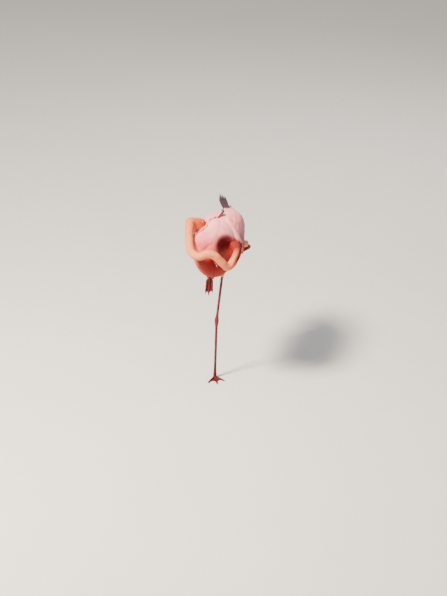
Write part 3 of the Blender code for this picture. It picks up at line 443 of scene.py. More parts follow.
def make_plumage():
    """Keratin feathers dyed by carotene: matt and a little translucent, pink to orange.

    Their warmth sets the main colour, its darkest reds partly painted shade; rose lies over it, and
    then painted shade in purple-grey and in crimson, the crimson partly the feathers' own. Each
    feather is deeper at its base, and paler at its edges and shaft, but not where it is crimson.
    """
    finish, tree, shader = start_material("feather_pink", 0.80, Sheen_Weight=0.06,
                                          Sheen_Roughness=0.5, Specular_IOR_Level=0.15,
                                          Subsurface_Weight=0.18, Subsurface_Scale=0.004)
    shader.inputs["Subsurface Radius"].default_value = (1.0, 0.36, 0.26)
    patchy = maths(tree, "MULTIPLY", maths(tree, "SUBTRACT", noise(tree, 26), 0.5), 0.26)
    warm = maths(tree, "ADD", attribute(tree, "warmth"), patchy)
    # Ramp of warmth; its darkest reds, reached low on the breast, stand partly for painted shade
    colour = ramp(tree, warm, [(0.0, "#FFACB3"), (0.26, "#FB7C78"), (0.42, "#FF9858"),
                               (0.60, "#F46820"), (0.80, "#C8300A"), (1.0, "#881404")])
    colour = mix(tree, attribute(tree, "rose"), colour, linear("#E8484E"))
    # Painted shade in purple-grey
    colour = mix(tree, attribute(tree, "mauve_shade"), colour, linear("#A0708A"))
    # Painted shade in crimson, partly over the feathers' own crimson in the hollow by the neck
    colour = mix(tree, attribute(tree, "depth"), colour, linear("#7E0810"))
    along = attribute(tree, "along")
    deeper = mix(tree, 0.40, colour, linear("#EE8A80"), "MULTIPLY")
    base = maths(tree, "SUBTRACT", 1.0, along)
    colour = mix(tree, maths(tree, "MULTIPLY", base, 0.45), colour, deeper)
    aside = maths(tree, "ABSOLUTE", attribute(tree, "across"))
    edge = maths(tree, "MULTIPLY", maths(tree, "POWER", aside, 3.0), along)
    fade = between(tree, attribute(tree, "depth"), From_Max=0.9, To_Min=0.35, To_Max=0.03)
    paler = mix(tree, fade, colour, linear("#FFF1EC"))
    colour = mix(tree, maths(tree, "MULTIPLY", edge, 0.25), colour, paler)
    shaft = between(tree, aside, From_Max=0.09, To_Min=0.4, To_Max=0.0)
    colour = mix(tree, shaft, colour, paler)
    line = maths(tree, "ADD", maths(tree, "MULTIPLY", barbs(tree), 0.03), 1.0)
    tint = between(tree, attribute(tree, "tint"), To_Min=0.92, To_Max=1.07)
    tint = maths(tree, "MULTIPLY", tint, line)
    varied = node(tree, "ShaderNodeHueSaturation", {"Value": tint, "Color": colour})
    tree.links.new(varied.outputs["Color"], shader.inputs["Base Color"])
    set_bump(tree, shader, barbs(tree), 0.22, 0.10)
    return finish


def make_black_feather():
    """Flight feathers full of melanin: near black and satin, with a brown purple cast."""
    finish, tree, shader = start_material("feather_black", 0.56, Sheen_Weight=0.05,
                                          Specular_IOR_Level=0.25)
    along = attribute(tree, "along")
    colour = mix(tree, along, linear("#421C28"), linear("#180A10"))
    aside = maths(tree, "ABSOLUTE", attribute(tree, "across"))
    shaft = maths(tree, "LESS_THAN", aside, 0.07)
    colour = mix(tree, maths(tree, "MULTIPLY", shaft, 0.5), colour, linear("#5A4446"))
    tree.links.new(colour, shader.inputs["Base Color"])
    set_bump(tree, shader, barbs(tree), 0.5, 0.15)
    return finish


def make_scaled_skin(name, dark, light, roughness, scale_mm):
    """Horny scales over skin: darker in the joints between them, with a dull shine."""
    finish, tree, shader = start_material(name, roughness, Specular_IOR_Level=0.3)
    stretch = node(tree, "ShaderNodeMapping", {"Vector": position(tree), "Scale": (1, 1, 0.7)})
    inputs = {"Vector": stretch.outputs["Vector"], "Scale": 1000 / scale_mm, "Randomness": 0.65}
    cells = node(tree, "ShaderNodeTexVoronoi", inputs, feature="DISTANCE_TO_EDGE")
    joint = between(tree, cells.outputs["Distance"], From_Max=0.12)
    patch = between(tree, noise(tree, 14), From_Min=0.35, From_Max=0.68)
    colour = mix(tree, patch, linear(dark), linear(light))
    # Crimson on the ankles, partly painted shade
    colour = mix(tree, attribute(tree, "depth"), colour, linear("#8C1420"))
    colour = mix(tree, maths(tree, "MULTIPLY", maths(tree, "SUBTRACT", 1.0, joint), 0.50),
                 colour, linear("#220C10"))
    tree.links.new(colour, shader.inputs["Base Color"])
    set_bump(tree, shader, joint, 0.7, 0.35)
    return finish


def make_horn(name, dark, light, roughness):
    """Claw and bill horn: smooth keratin with faint lengthwise streaks."""
    finish, tree, shader = start_material(name, roughness, Coat_Weight=0.2)
    streak = noise(tree, 3, 5.0)
    colour = mix(tree, streak, linear(dark), linear(light))
    tree.links.new(colour, shader.inputs["Base Color"])
    set_bump(tree, shader, streak, 0.25, 0.2)
    return finish


def make_bill_horn():
    """The bill: pale pink horn that turns black past its bend, smooth with a soft gloss."""
    finish, tree, shader = start_material("bill_keratin", 0.32, Coat_Weight=0.25)
    along = attribute(tree, "along")
    wavy = maths(tree, "ADD", along, maths(tree, "MULTIPLY", noise(tree, 9), 0.08))
    colour = ramp(tree, wavy, [(0.0, "#E8B6A4"), (0.40, "#EBC0B0"), (0.60, "#D98F82"),
                               (0.66, "#1A1214"), (1.0, "#120D10")])
    tree.links.new(colour, shader.inputs["Base Color"])
    set_bump(tree, shader, noise(tree, 2.5, 4.0), 0.2, 0.2)
    return finish


def make_iris():
    """Iris: pale yellow with fine spokes under the wet front of the eye."""
    finish, tree, shader = start_material("iris_yellow", 0.25, Coat_Weight=1.0,
                                          Coat_Roughness=0.03)
    colour = mix(tree, noise(tree, 0.7, 4.0), linear("#B98A2E"), linear("#EED27A"))
    tree.links.new(colour, shader.inputs["Base Color"])
    return finish


def make_pupil():
    """Pupil: black under the wet front of the eye, a little brown where light gets in."""
    finish, tree, shader = start_material("pupil_black", 0.15, Coat_Weight=1.0,
                                          Coat_Roughness=0.03)
    colour = mix(tree, noise(tree, 1.5), linear("#050405"), linear("#120B08"))
    tree.links.new(colour, shader.inputs["Base Color"])
    return finish


def make_floor_paint():
    """Matt pale studio floor with a faint mottling."""
    finish, tree, shader = start_material("studio_floor", 0.9)
    colour = mix(tree, noise(tree, 900), linear("#DAD8D3"), linear("#E2E0DB"))
    tree.links.new(colour, shader.inputs["Base Color"])
    return finish


def egg_share(s, rear):
    """How full the trunk is, from 1 at its middle to 0 at its ends, s along it from there."""
    if s < 0:
        square, close = FRONT_CLOSE
        return max(0.0, 1 - abs(s / TRUNK_FRONT) ** square) ** close
    square, close = REAR_CLOSE
    return max(0.0, 1 - (s / rear) ** square) ** close


def body_point(s, turn, rear=TRUNK_REAR, drift=0.0, rise=TRUNK_RUMP_RISE):
    """A point of the trunk: s along it, turn from its back towards its left side."""
    full = egg_share(s, rear)
    across, above = math.sin(turn), math.cos(turn)
    power = 2 / (BACK_CURVE if above > 0 else KEEL)
    height = TRUNK_UP if above > 0 else TRUNK_DOWN
    back = max(0.0, s / rear) ** 2
    high = full * height * math.copysign(abs(above) ** power, above)
    wide = full * TRUNK_HALF_WIDTH * math.copysign(abs(across) ** power, across)
    flank = max(0.0, -across) * max(0.0, -above) ** 0.5
    puff = FLANK_PUFF * full * flank * bump(s, FLANK_PLACE, FLANK_REACH)
    wide += puff * across
    high += puff * above
    return TRUNK_MIDDLE + Vector((wide + TRUNK_LEAN * high + drift * back, s, high + rise * back))


def hollowed(point):
    """Presses a point of the trunk in where the neck leaves it."""
    away = (point - HOLLOW_MIDDLE).length / HOLLOW_REACH
    if away >= 1.5:
        return point
    inward = (TRUNK_MIDDLE - HOLLOW_MIDDLE).normalized()
    return point + inward * HOLLOW_DEPTH * math.exp(-(away ** 3) * HOLLOW_EDGE)


def bump(x, middle, reach):
    """From 1 at the middle to 0 well past the reach, on both sides of it."""
    return math.exp(-((x - middle) / reach) ** 2)


def wing_fullness(side, s, turn):
    """How far the wing stands off the trunk: the right shoulder is pushed out by the neck."""
    full, swells = ((LEFT_FULLNESS, LEFT_SWELLS) if side > 0 else
                    (RIGHT_FULLNESS, RIGHT_SWELLS))
    around = math.degrees(turn)
    for height, place, reach, middle, spread in swells:
        full += height * bump(s, place, reach) * bump(around, middle, spread)
    if side < 0:
        share, place, reach, middle, spread = HEAD_REST
        full *= 1 - share * bump(s, place, reach) * bump(around, middle, spread)
    return full


def wing_edges(side, s):
    """The upper and lower edge of the folded wing, in degrees round from the back."""
    front = max(0.0, min(1.0, (0.02 - s) / 0.14))
    if side > 0:
        return 12 + 46 * front ** 1.5, 108 - 4 * front
    return 5 - 9 * front, 112 - 4 * front


def cloak_point(side, s, turn, lift=0.0):
    """A point on the feather coat of a wing, side being 1 for the left and -1 for the right."""
    drift, rise = (LEFT_DRIFT, LEFT_RISE) if side > 0 else (RIGHT_DRIFT, RIGHT_RISE)

    def surface(along, around):
        point = body_point(along, side * around, CLOAK_REAR, drift, rise)
        out = Vector((point.x - TRUNK_MIDDLE.x, 0.25 * (point.y - TRUNK_MIDDLE.y),
                      point.z - TRUNK_MIDDLE.z)).normalized()
        return point + out * wing_fullness(side, along, around)

    step = 0.002
    here = surface(s, turn)
    along = surface(s + step, turn) - surface(s - step, turn)
    around = surface(s, turn + step) - surface(s, turn - step)
    normal = along.cross(around).normalized() * side
    if normal.dot(here - TRUNK_MIDDLE) < 0:
        normal = -normal
    return here + normal * lift, normal


def smooth_route(points, step):
    """Evenly spaced points on a smooth curve through the given ones."""
    knots = [Vector(point) for point in points]
    knots = [2 * knots[0] - knots[1]] + knots + [2 * knots[-1] - knots[-2]]
    fine = []
    for a, b, c, d in zip(knots, knots[1:], knots[2:], knots[3:]):
        for i in range(24):
            t = i / 24
            fine.append(0.5 * (2 * b + (c - a) * t + (2 * a - 5 * b + 4 * c - d) * t * t
                               + (3 * b - a - 3 * c + d) * t ** 3))
    fine.append(knots[-2])
    along = [0.0]
    for a, b in zip(fine, fine[1:]):
        along.append(along[-1] + (b - a).length)
    count = max(2, round(along[-1] / step))
    route, k = [], 0
    for i in range(count + 1):
        goal = along[-1] * i / count
        while k < len(fine) - 2 and along[k + 1] < goal:
            k += 1
        share = (goal - along[k]) / (along[k + 1] - along[k])
        route.append(fine[k].lerp(fine[k + 1], min(1.0, share)))
    return route


def head_axes():
    """The head's own directions: forward, left and up."""
    forward = HEAD_FORWARD
    left = Vector((0, 0, 1)).cross(forward).normalized()
    up = forward.cross(left)
    turn = Matrix.Rotation(HEAD_ROLL, 3, forward)
    return forward, turn @ left, turn @ up


def head_point(along, left, up):
    """A point at distances along, left of and above the middle of the head."""
    forward_way, left_way, up_way = head_axes()
    return HEAD_MIDDLE + forward_way * along + left_way * left + up_way * up


def from_table(share, rows):
    """Values between the rows of a table whose first column is a place."""
    places = [row[0] for row in rows]
    return [float(np.interp(share, places, [row[k] for row in rows]))
            for k in range(1, len(rows[0]))]


def deselect():
    """Leaves nothing selected."""
    for thing in bpy.context.selected_objects:
        thing.select_set(False)


def only(thing):
    """Makes one object the active and the only selected one."""
    deselect()
    thing.select_set(True)
    bpy.context.view_layer.objects.active = thing


def apply_modifier(thing, kind, **settings):
    """Adds a modifier with its settings and applies it."""
    only(thing)
    change = thing.modifiers.new("shape", kind)
    for name, value in settings.items():
        setattr(change, name, value)
    bpy.ops.object.modifier_apply(modifier=change.name)


def join_all(things, name):
    """Joins several objects into the first one."""
    deselect()
    for thing in things:
        thing.select_set(True)
    bpy.context.view_layer.objects.active = things[0]
    if len(things) > 1:
        bpy.ops.object.join()
    things[0].name = things[0].data.name = name
    return things[0]


def unite(thing, others):
    """Fuses closed objects to a closed one, and removes them."""
    for other in others:
        apply_modifier(thing, "BOOLEAN", operation="UNION", object=other, solver="MANIFOLD")
        bpy.data.objects.remove(other, do_unlink=True)


def shaped_sphere(name, segments, rings, place):
    """A sphere whose points go where a rule of their swing from pole to pole and turn puts them."""
    deselect()
    bpy.ops.mesh.primitive_uv_sphere_add(segments=segments, ring_count=rings, radius=1)
    thing = bpy.context.object
    thing.name = thing.data.name = name
    for corner in thing.data.vertices:
        swing = math.acos(max(-1.0, min(1.0, -corner.co.z)))
        corner.co = place(swing, math.atan2(corner.co.x, corner.co.y))
    only(thing)
    bpy.ops.object.mode_set(mode="EDIT")
    bpy.ops.mesh.select_all(action="SELECT")
    bpy.ops.mesh.normals_make_consistent(inside=False)
    bpy.ops.object.mode_set(mode="OBJECT")
    return thing


def add_object(name, data):
    """A new object in the scene with the given mesh, light or camera."""
    thing = bpy.data.objects.new(name, data)
    bpy.context.scene.collection.objects.link(thing)
    return thing


def set_values(mesh, name, values):
    """Stores one number for each point of a mesh."""
    layer = mesh.attributes.new(name, "FLOAT", "POINT")
    layer.data.foreach_set("value", np.ascontiguousarray(values, dtype=np.float32).ravel())


def mesh_object(name, points, faces):
    """A closed object from points and faces, with its faces turned outwards."""
    mesh = bpy.data.meshes.new(name)
    mesh.from_pydata([tuple(point) for point in points], [], faces)
    thing = add_object(name, mesh)
    form = bmesh.new()
    form.from_mesh(mesh)
    bmesh.ops.recalc_face_normals(form, faces=form.faces)
    form.to_mesh(mesh)
    form.free()
    return thing


def loft(name, rings, strip=False):
    """Joins rings with the same number of points. A flat ring is closed across, as a strip."""
    count = len(rings[0])
    points = [point for ring in rings for point in ring]
    faces = []
    for row in range(len(rings) - 1):
        for i in range(count):
            a, b = row * count + i, row * count + (i + 1) % count
            faces.append((a, b, b + count, a + count))
    for first in (0, count * (len(rings) - 1)):
        if strip:
            for i in range(count // 2 - 1):
                a, b = first + i, first + count - 1 - i
                faces.append((a, a + 1, b - 1, b))
            continue
        middle = len(points)
        points.append(sum(points[first:first + count], Vector()) / count)
        for i in range(count):
            faces.append((middle, first + i, first + (i + 1) % count))
    return mesh_object(name, points, faces)


def route_frames(route, up):
    """A tangent, a side and an up direction at each point, turning as little as they can."""
    out = []
    for i, _ in enumerate(route):
        tangent = (route[min(i + 1, len(route) - 1)] - route[max(i - 1, 0)]).normalized()
        side = tangent.cross(up).normalized()
        up = side.cross(tangent).normalized()
        out.append((tangent, side, up))
    return out


def tube(name, route, radius, sides, up):
    """A tube whose radius is a rule of the place along it and the turn round it."""
    rings = []
    for i, (point, (_, side, rise)) in enumerate(zip(route, route_frames(route, up))):
        ring = []
        for k in range(sides):
            turn = 2 * math.pi * k / sides
            reach = radius(i, turn)
            ring.append(point + side * reach * math.cos(turn) + rise * reach * math.sin(turn))
        rings.append(ring)
    return loft(name, rings)


def make_trunk_form():
    """The trunk under its coat, with the hollow beside the root of the neck."""
    def place(swing, turn):
        reach = TRUNK_FRONT if swing < math.pi / 2 else TRUNK_REAR
        return hollowed(body_point(-reach * math.cos(swing), turn))

    trunk = shaped_sphere("trunk_form", 64, 44, place)
    apply_modifier(trunk, "DISPLACE", strength=-BODY_COAT, mid_level=0.0)
    return trunk


def make_arm_form(side):
    """The folded arm of a wing over the side of the trunk, under its feathers."""
    start, end = (-0.135, 0.165) if side > 0 else (-0.160, 0.155)

    def place(swing, turn):
        along, across = -math.cos(swing), math.sin(turn)
        s = (start + end) / 2 + along * (end - start) / 2
        top, bottom = wing_edges(side, s)
        taper = max(0.0, 1 - along * along) ** 0.5
        spread = across * (bottom - top) / 2 * (0.35 + 0.65 * taper)
        around = math.radians((top + bottom) / 2 + spread)
        if math.cos(turn) < 0:
            return body_point(s, side * around) * 0.88 + TRUNK_MIDDLE * 0.12
        full = wing_fullness(side, s, around)
        depth = full * (1 - (1 - across * across) ** 0.4 * min(1.0, taper * 1.25)) + 0.001
        return cloak_point(side, s, around, -depth)[0]

    arm = shaped_sphere("arm_form", 48, 36, place)
    apply_modifier(arm, "DISPLACE", strength=-BODY_COAT * 0.8, mid_level=0.0)
    return arm


def neck_line():
    """The neck's middle line, and its radius over the coat at each point of it."""
    nape = [head_point(HEAD_NAPE - NECK_NAPE_RUN, 0, 0), head_point(HEAD_NAPE + 0.014, 0, 0)]
    route = smooth_route(NECK_ROUTE + nape, NECK_STEP)
    last = len(route) - 1
    radii = []
    for i in range(last + 1):
        root = max(0.0, 1 - i / (last * 0.16))
        nape = max(0.0, 1 - (last - i) / (last * 0.14))
        radii.append(NECK_RADIUS + (NECK_ROOT_RADIUS - NECK_RADIUS) * root ** 1.5
                     + (NECK_NAPE_RADIUS - NECK_RADIUS) * nape)
    return route, radii


NECK_LINE, NECK_RADII = neck_line()


def make_neck_form():
    """A tube that swells and narrows a little over the long bones of the neck."""
    def radius(i, turn):
        joint = NECK_JOINT * math.cos(i * NECK_STEP / NECK_BONE * 2 * math.pi)
        return NECK_RADII[i] - NECK_COAT + joint

    return tube("neck_form", NECK_LINE, radius, 28, Vector((0, 0, 1)))


def head_surface(along, turn, inset):
    """A point of the head, turn from its left side over its crown, pressed in by an inset."""
    half, top, bottom = from_table(along, HEAD_PROFILE)
    across, above = math.cos(turn), math.sin(turn)
    height = (top if above > 0 else bottom) - inset
    wide = half - inset
    lore = 0.0022 * bump(along, 0.022, 0.007) * bump(above, 0.15, 0.35)
    brow = 0.0012 * bump(along, EYE_ALONG - 0.001, 0.010) * bump(above, 0.62, 0.18)
    cheek = 0.0012 * bump(along, -0.006, 0.010) * bump(above, -0.45, 0.35)
    wide += brow + cheek - lore
    return head_point(along, wide * math.copysign(abs(across) ** 0.85, across), height * above)


def make_head_form():
    """The head: a smooth crown, a brow, hollow lores in front of the eyes and full cheeks."""
    first, last = HEAD_NAPE - 0.004, HEAD_FACE

    def place(swing, turn):
        t = -math.cos(swing)
        along = (first + last) / 2 + (last - first) / 2 * t
        point = head_surface(along, turn, HEAD_COAT)
        close = max(0.0, 1 - abs(t) ** 14) ** 0.5
        centre = head_point(along, 0, -0.002)
        return centre.lerp(point, close)

    return shaped_sphere("head_form", 72, 60, place)


def make_lid(side, name):
    """Both lids of one eye: a close shell round the ball with an almond opening."""
    centre, out, forward, up = eye_place(side)
    shell = EYE_RADIUS + LID_GAP
    wide, high = math.radians(50), math.radians(25)
    sides = 36
    rings = []
    for reach, raised in ((0.94, -0.0007), (1.0, -0.0001), (1.10, 0.0004), (1.30, 0.0002),
                          (1.65, 0.0), (2.1, -0.0002), (2.1, -0.0016), (0.94, -0.0016)):
        ring = []
        for k in range(sides):
            turn = 2 * math.pi * k / sides
            across, above = math.cos(turn) * wide, math.sin(turn) * high
            if above < 0:
                above *= 0.85
            blend = (reach - 0.94) / 1.16
            spread = wide * 0.55 * blend
            a = across * reach * (1 - 0.25 * blend) + math.cos(turn) * spread * 0.4
            b = above * reach + math.sin(turn) * spread
            away = math.hypot(a, b)
            way = (out * math.cos(away) + (forward * a + up * b) / max(1e-6, away)
                   * math.sin(away))
            ring.append(centre + way * (shell + raised))
        rings.append(ring)
    faces = []
    for row in range(len(rings)):
        after = ((row + 1) % len(rings) - row) * sides
        for k in range(sides):
            a, b = row * sides + k, row * sides + (k + 1) % sides
            faces.append((a, b, b + after, a + after))
    return mesh_object(name, [point for ring in rings for point in ring], faces)


def eye_place(side):
    """Middle of one eye, the way it looks, and the head's forward and up beside it."""
    forward, left, up = head_axes()
    out = (left * side + forward * 0.18 + up * 0.10).normalized()
    ahead = (forward - out * forward.dot(out)).normalized()
    return head_point(EYE_ALONG, side * EYE_OUT, EYE_UP), out, ahead, out.cross(ahead) * side


def make_thigh_form(hip, cuff, wide, narrow):
    """The feathered thigh, most of it hidden in the feathers of the belly."""
    route = [hip.lerp(cuff, i / 12) for i in range(13)]
    radii = [narrow + (wide - narrow) * (1 - i / 12) ** 1.4 for i in range(13)]
    return tube("thigh_form", route, lambda i, turn: radii[i] - 0.004, 20, Vector((0, 1, 0.1)))


def make_tail_form():
    """The fleshy root of the tail."""
    route = [TAIL_ROOT + TAIL_WAY * far for far in (-0.01, 0.01, 0.030, 0.045, 0.058)]
    radii = (0.020, 0.026, 0.024, 0.016, 0.004)
    return tube("tail_form", route, lambda i, turn: radii[i] * (1 - 0.45 * math.sin(turn) ** 2),
                20, Vector((0, 0, 1)))


def swell(distance, thin, thick, reach):
    """Radius of a leg at a distance from its joint, where it is thickest."""
    share = max(0.0, 1 - distance / reach)
    return thin + (thick - thin) * share * share * (3 - 2 * share)


def make_shank(name, start, end, thin, knob_at_start, knob_at_end, feathered=0.0, flare=0.0):
    """A bare stretch of leg, with scutes in rings down its front and a knob at its joint."""
    length = (end - start).length
    steps = round(length / 0.0016)
    route = [start.lerp(end, i / steps) for i in range(steps + 1)]

    def radius(i, turn):
        far = length * i / steps
        radius = thin
        if knob_at_start:
            radius = max(radius, swell(far, thin, knob_at_start, ANKLE_REACH))
        if knob_at_end:
            radius = max(radius, swell(length - far, thin, knob_at_end, ANKLE_REACH))
            over = max(0.0, far - length + KNEE_CAP)
            radius *= max(0.12, 1 - (over / 0.012) ** 2) ** 0.5
        if feathered:
            radius = max(radius, feathered * (1 - i / steps) ** 1.5)
        radius += flare * max(0.0, 1 - (length - far) / 0.03)
        plate = abs((far / SCUTE_PITCH) % 1 - 0.5) * 2
        front = max(0.0, -math.sin(turn)) ** 0.5
        return radius - SCUTE_DEPTH * plate ** 4 * (0.35 + front)

    return tube(name, route, radius, 20, Vector((0.1, 1, 0.1)))


def make_leg_form(start, ankle, heel, feathered, knob):
    """One bare leg from its cuff to its foot."""
    past = (ankle - start).normalized() * KNEE_CAP
    tibia = make_shank("tibia_form", start, ankle + past, SHANK_RADIUS, 0, knob, feathered)
    tarsus = make_shank("tarsus_form", ankle, heel, SHANK_RADIUS, knob * 0.94, 0, flare=0.0016)
    unite(tibia, [tarsus])
    return tibia


def toe_radius(share):
    """Radius of a toe at a share of its length."""
    return TOE_ROOT_RADIUS + (TOE_TIP_RADIUS - TOE_ROOT_RADIUS) * share


def on_floor(share):
    """Height of a toe's middle over the floor."""
    return toe_radius(share) * 0.85 - 0.0006 + 0.0050 * max(0.0, 1 - share * 6) ** 2


def hanging(share):
    """Bend of a toe that hangs from a folded leg."""
    return 0.004 * share


def toe_route(foot, length, angle, steps=6):
    """Points along a toe that spreads at an angle, over the plane of its foot."""
    origin, ahead, across, up, arch, gauge = foot
    spread = math.radians(angle)
    way = ahead * math.cos(spread) + across * math.sin(spread)
    aside = across * gauge * math.copysign(min(1.0, abs(angle) / 3), angle)
    route = []
    for i in range(steps + 1):
        share = i / steps
        apart = 1 - 0.45 * max(0.0, 1 - share * 5) ** 2
        route.append(origin + aside * apart + way * length * share + up * arch(share))
    return route


def feet_places():
    """Origin, directions, arch and gauge of the standing foot and of the folded one."""
    ahead = Vector((math.sin(STAND_TOE_IN), -math.cos(STAND_TOE_IN), 0))
    stand = (Vector((STAND_HEEL.x, STAND_HEEL.y, 0)), ahead, Vector((ahead.y, -ahead.x, 0)),
             Vector((0, 0, 1)), on_floor, STAND_GAUGE)
    across = FOLD_TOES.cross(Vector((0, -1, 0))).normalized()
    folded = (FOLD_HEEL + FOLD_TOES * 0.010 + Vector((-0.004, -0.006, 0)), FOLD_TOES, across,
              across.cross(FOLD_TOES).normalized(), hanging, FOLD_GAUGE)
    return stand, folded


def make_foot_form(foot, heel, toes, bay, reach):
    """Three webbed toes with pads and scutes, a small hind toe and the block that holds them."""
    origin, ahead, across, up, _, gauge = foot
    steps = 48

    def radius(i, turn):
        share = i / steps
        pad = TOE_PAD * math.sin(math.pi * share * TOE_PADS) ** 2
        plate = abs((share * TOE_SCUTES) % 1 - 0.5) * 2
        over = max(0.0, math.sin(turn))
        tip = max(0.05, 1 - max(0.0, (share - 0.93) / 0.07) ** 2) ** 0.5
        return (toe_radius(share) + pad - 0.0003 * plate ** 4 * over) * tip

    routes = [toe_route(foot, length, angle, steps) for _, length, angle in toes]
    pieces = [tube("toe", route, radius, 16, up) for route in routes]
    for first, second in zip(routes, routes[1:]):
        pieces.append(make_web(first, second, up, bay, reach))
    hind = [origin - ahead * (0.002 + HIND_TOE * i / 10) + across * 0.002
            + up * (0.0052 - 0.0020 * i / 10) for i in range(11)]
    pieces.append(tube("hind_toe", hind, lambda i, turn: 0.0034 - 0.00016 * i, 14, up))
    down = (origin - heel).normalized()
    far = (origin - heel).length + 0.002
    hub = [heel + down * (far * i / 16 - 0.004) for i in range(17)]
    girth = np.interp(np.linspace(0, 1, 17), (0.1, 0.5, 0.9, 1.0),
                      [radius + gauge * more for radius, more in zip(HUB_RADII, HUB_WIDENING)])
    pieces.append(tube("hub", hub, lambda i, turn: float(girth[i]), 20, ahead))
    base = join_all(pieces, "foot_form")
    apply_modifier(base, "REMESH", mode="VOXEL", voxel_size=FOOT_VOXEL)
    apply_modifier(base, "SMOOTH", factor=0.5, iterations=2)
    return base


def make_web(first, second, up, bay, reach):
    """A thin skin between two toes, a little slack, with a hollow front edge."""
    rows, columns = 24, 12
    sheets = []
    for height in (WEB_THICKNESS / 2, -WEB_THICKNESS / 2):
        lines = []
        for j in range(columns + 1):
            v = j / columns
            edge = reach * (1 - bay * math.sin(math.pi * v))
            line = []
            for i in range(rows + 1):
                share = 0.06 + (edge - 0.06) * i / rows
                t = share * (len(first) - 1)
                k = min(int(t), len(first) - 2)
                a = first[k].lerp(first[k + 1], t - k)
                b = second[k].lerp(second[k + 1], t - k)
                fold = 0.0006 * math.sin(v * 5 * math.pi) * math.sin(math.pi * v) * share
                line.append(a.lerp(b, v) + up * (height + fold - 0.0008 * math.sin(math.pi * v)))
            lines.append(line)
        sheets.append(lines)
    rings = [top + under[::-1] for top, under in zip(*sheets)]
    return loft("web", rings, strip=True)


def make_claw(name, foot, length, angle):
    """A blunt horn claw that carries on the line of its toe and curves down a little."""
    route = toe_route(foot, length, angle, 12)
    way = (route[-1] - route[-2]).normalized()
    up = foot[3]
    line = []
    for i in range(15):
        share = i / 14
        line.append(route[-1] + way * (CLAW_LENGTH * share - CLAW_SUNK)
                    + up * (0.0007 - 0.0008 * share ** 2))

    def radius(i, turn):
        share = i / 14
        ridge = 0.0002 * max(0.0, math.sin(turn)) ** 3
        return CLAW_RADIUS * (1 - share ** 1.6) ** 0.8 + CLAW_TIP + ridge

    return tube(name, line, radius, 14, up)


def bill_frame(share):
    """Directions of the bill at a share of its length, as it bends down."""
    forward, left, up = head_axes()
    bend = BILL_BEND * min(1.0, max(0.0, (share - 0.30) / 0.42))
    return forward * math.cos(bend) - up * math.sin(bend), left, (
        up * math.cos(bend) + forward * math.sin(bend))


def make_bill(upper, name):
    """One half of the bill, bent down in its middle, with a fine gape line to the other."""
    steps, sides = 44, 22
    point = head_point(HEAD_FACE - 0.002, 0, -0.002)
    rings, places = [], []
    for i in range(steps + 1):
        share = i / steps
        forward, left, up = bill_frame(share)
        if i:
            point = point + forward * BILL_LENGTH / steps
        width = BILL_HALF_WIDTH * (1 - 0.45 * share) * (1 - share ** 6) + 0.0014
        close = 1 - share ** 5
        if upper:
            gape = BILL_GAPE
            far = BILL_DEPTH * (1 - 0.62 * share) * close + 0.0022
        else:
            gape = -BILL_GAPE
            keel = BILL_DEPTH + 0.004 * math.sin(math.pi * share)
            far = -keel * (1 - 0.45 * share) * close - 0.0020
        ring = []
        for k in range(sides):
            turn = math.pi * k / (sides - 1)
            ridge = 0.0006 * bump(turn, math.pi / 2, 0.25)
            groove = 0.0005 * (bump(turn, 0.75, 0.12) + bump(turn, math.pi - 0.75, 0.12))
            out = 1 - groove / 0.010
            ring.append(point + left * width * math.cos(turn) * out
                        + up * (gape + (far - gape + math.copysign(ridge, far))
                                * math.sin(turn) ** 0.9 * out))
        rings.append(ring)
        places.append(share)
    thing = loft(name, rings)
    set_values(thing.data, "along", np.repeat(places, sides).tolist() + [0.0, 1.0])
    return thing


def make_nostril_cutters():
    """Cutters for the two slits near the base of the upper bill."""
    cutters = []
    for side in (1, -1):
        rings = []
        for share, half in ((0.10, 0.0003), (0.13, 0.0007), (0.17, 0.0009), (0.21, 0.0008),
                            (0.25, 0.0006), (0.27, 0.0003)):
            _, left, up = bill_frame(share)
            middle = head_point(HEAD_FACE - 0.002 + BILL_LENGTH * share, side * 0.0112, 0.0045)
            rings.append([middle + left * a + up * b for a, b in
                          ((-0.004, -half), (0.004, -half), (0.004, half), (-0.004, half))])
        cutters.append(loft("nostril", rings))
    return cutters


def make_eye(side, name, iris, pupil):
    """One eyeball, with its pupil and iris turned outwards and a bulging front."""
    centre, out, forward, up = eye_place(side)

    def place(swing, turn):
        away = math.pi - swing
        bulge = EYE_RADIUS * (1 + 0.05 * max(0.0, math.cos(away)) ** 6)
        spoke = forward * math.cos(turn) + up * math.sin(turn)
        return centre + (out * math.cos(away) + spoke * math.sin(away)) * bulge

    eye = shaped_sphere(name, 40, 36, place)
    eye.data.materials.append(iris)
    eye.data.materials.append(pupil)
    for face in eye.data.polygons:
        away = (face.center - centre).normalized().angle(out)
        face.material_index = 0 if PUPIL_EDGE <= away <= IRIS_EDGE else 1
    return eye


def grid(points):
    """Vectors as the rows of an array."""
    return np.array([tuple(point) for point in points])


def neck_share(points):
    """Distance to the neck's middle line, the share along it, and the neck's radius there."""
    best = np.full(len(points), np.inf)
    knots = np.zeros(len(points), dtype=int)
    for i, knot in enumerate(grid(NECK_LINE)):
        away = np.linalg.norm(points - knot, axis=1)
        closer = away < best
        best[closer], knots[closer] = away[closer], i
    return best, knots / (len(NECK_LINE) - 1), np.array(NECK_RADII)[knots]


def head_places(points):
    """Places of points along, left of and above the middle of the head."""
    axes = grid(head_axes())
    return (points - np.array(HEAD_MIDDLE)) @ axes.T


def thigh_places(points, hip, cuff):
    """Distance to a thigh's middle line, and the share along it."""
    start, way = np.array(hip), np.array(cuff - hip)
    share = (points - start) @ way / (way @ way)
    foot = start + np.clip(share, 0, 1)[:, None] * way
    return np.linalg.norm(points - foot, axis=1), share


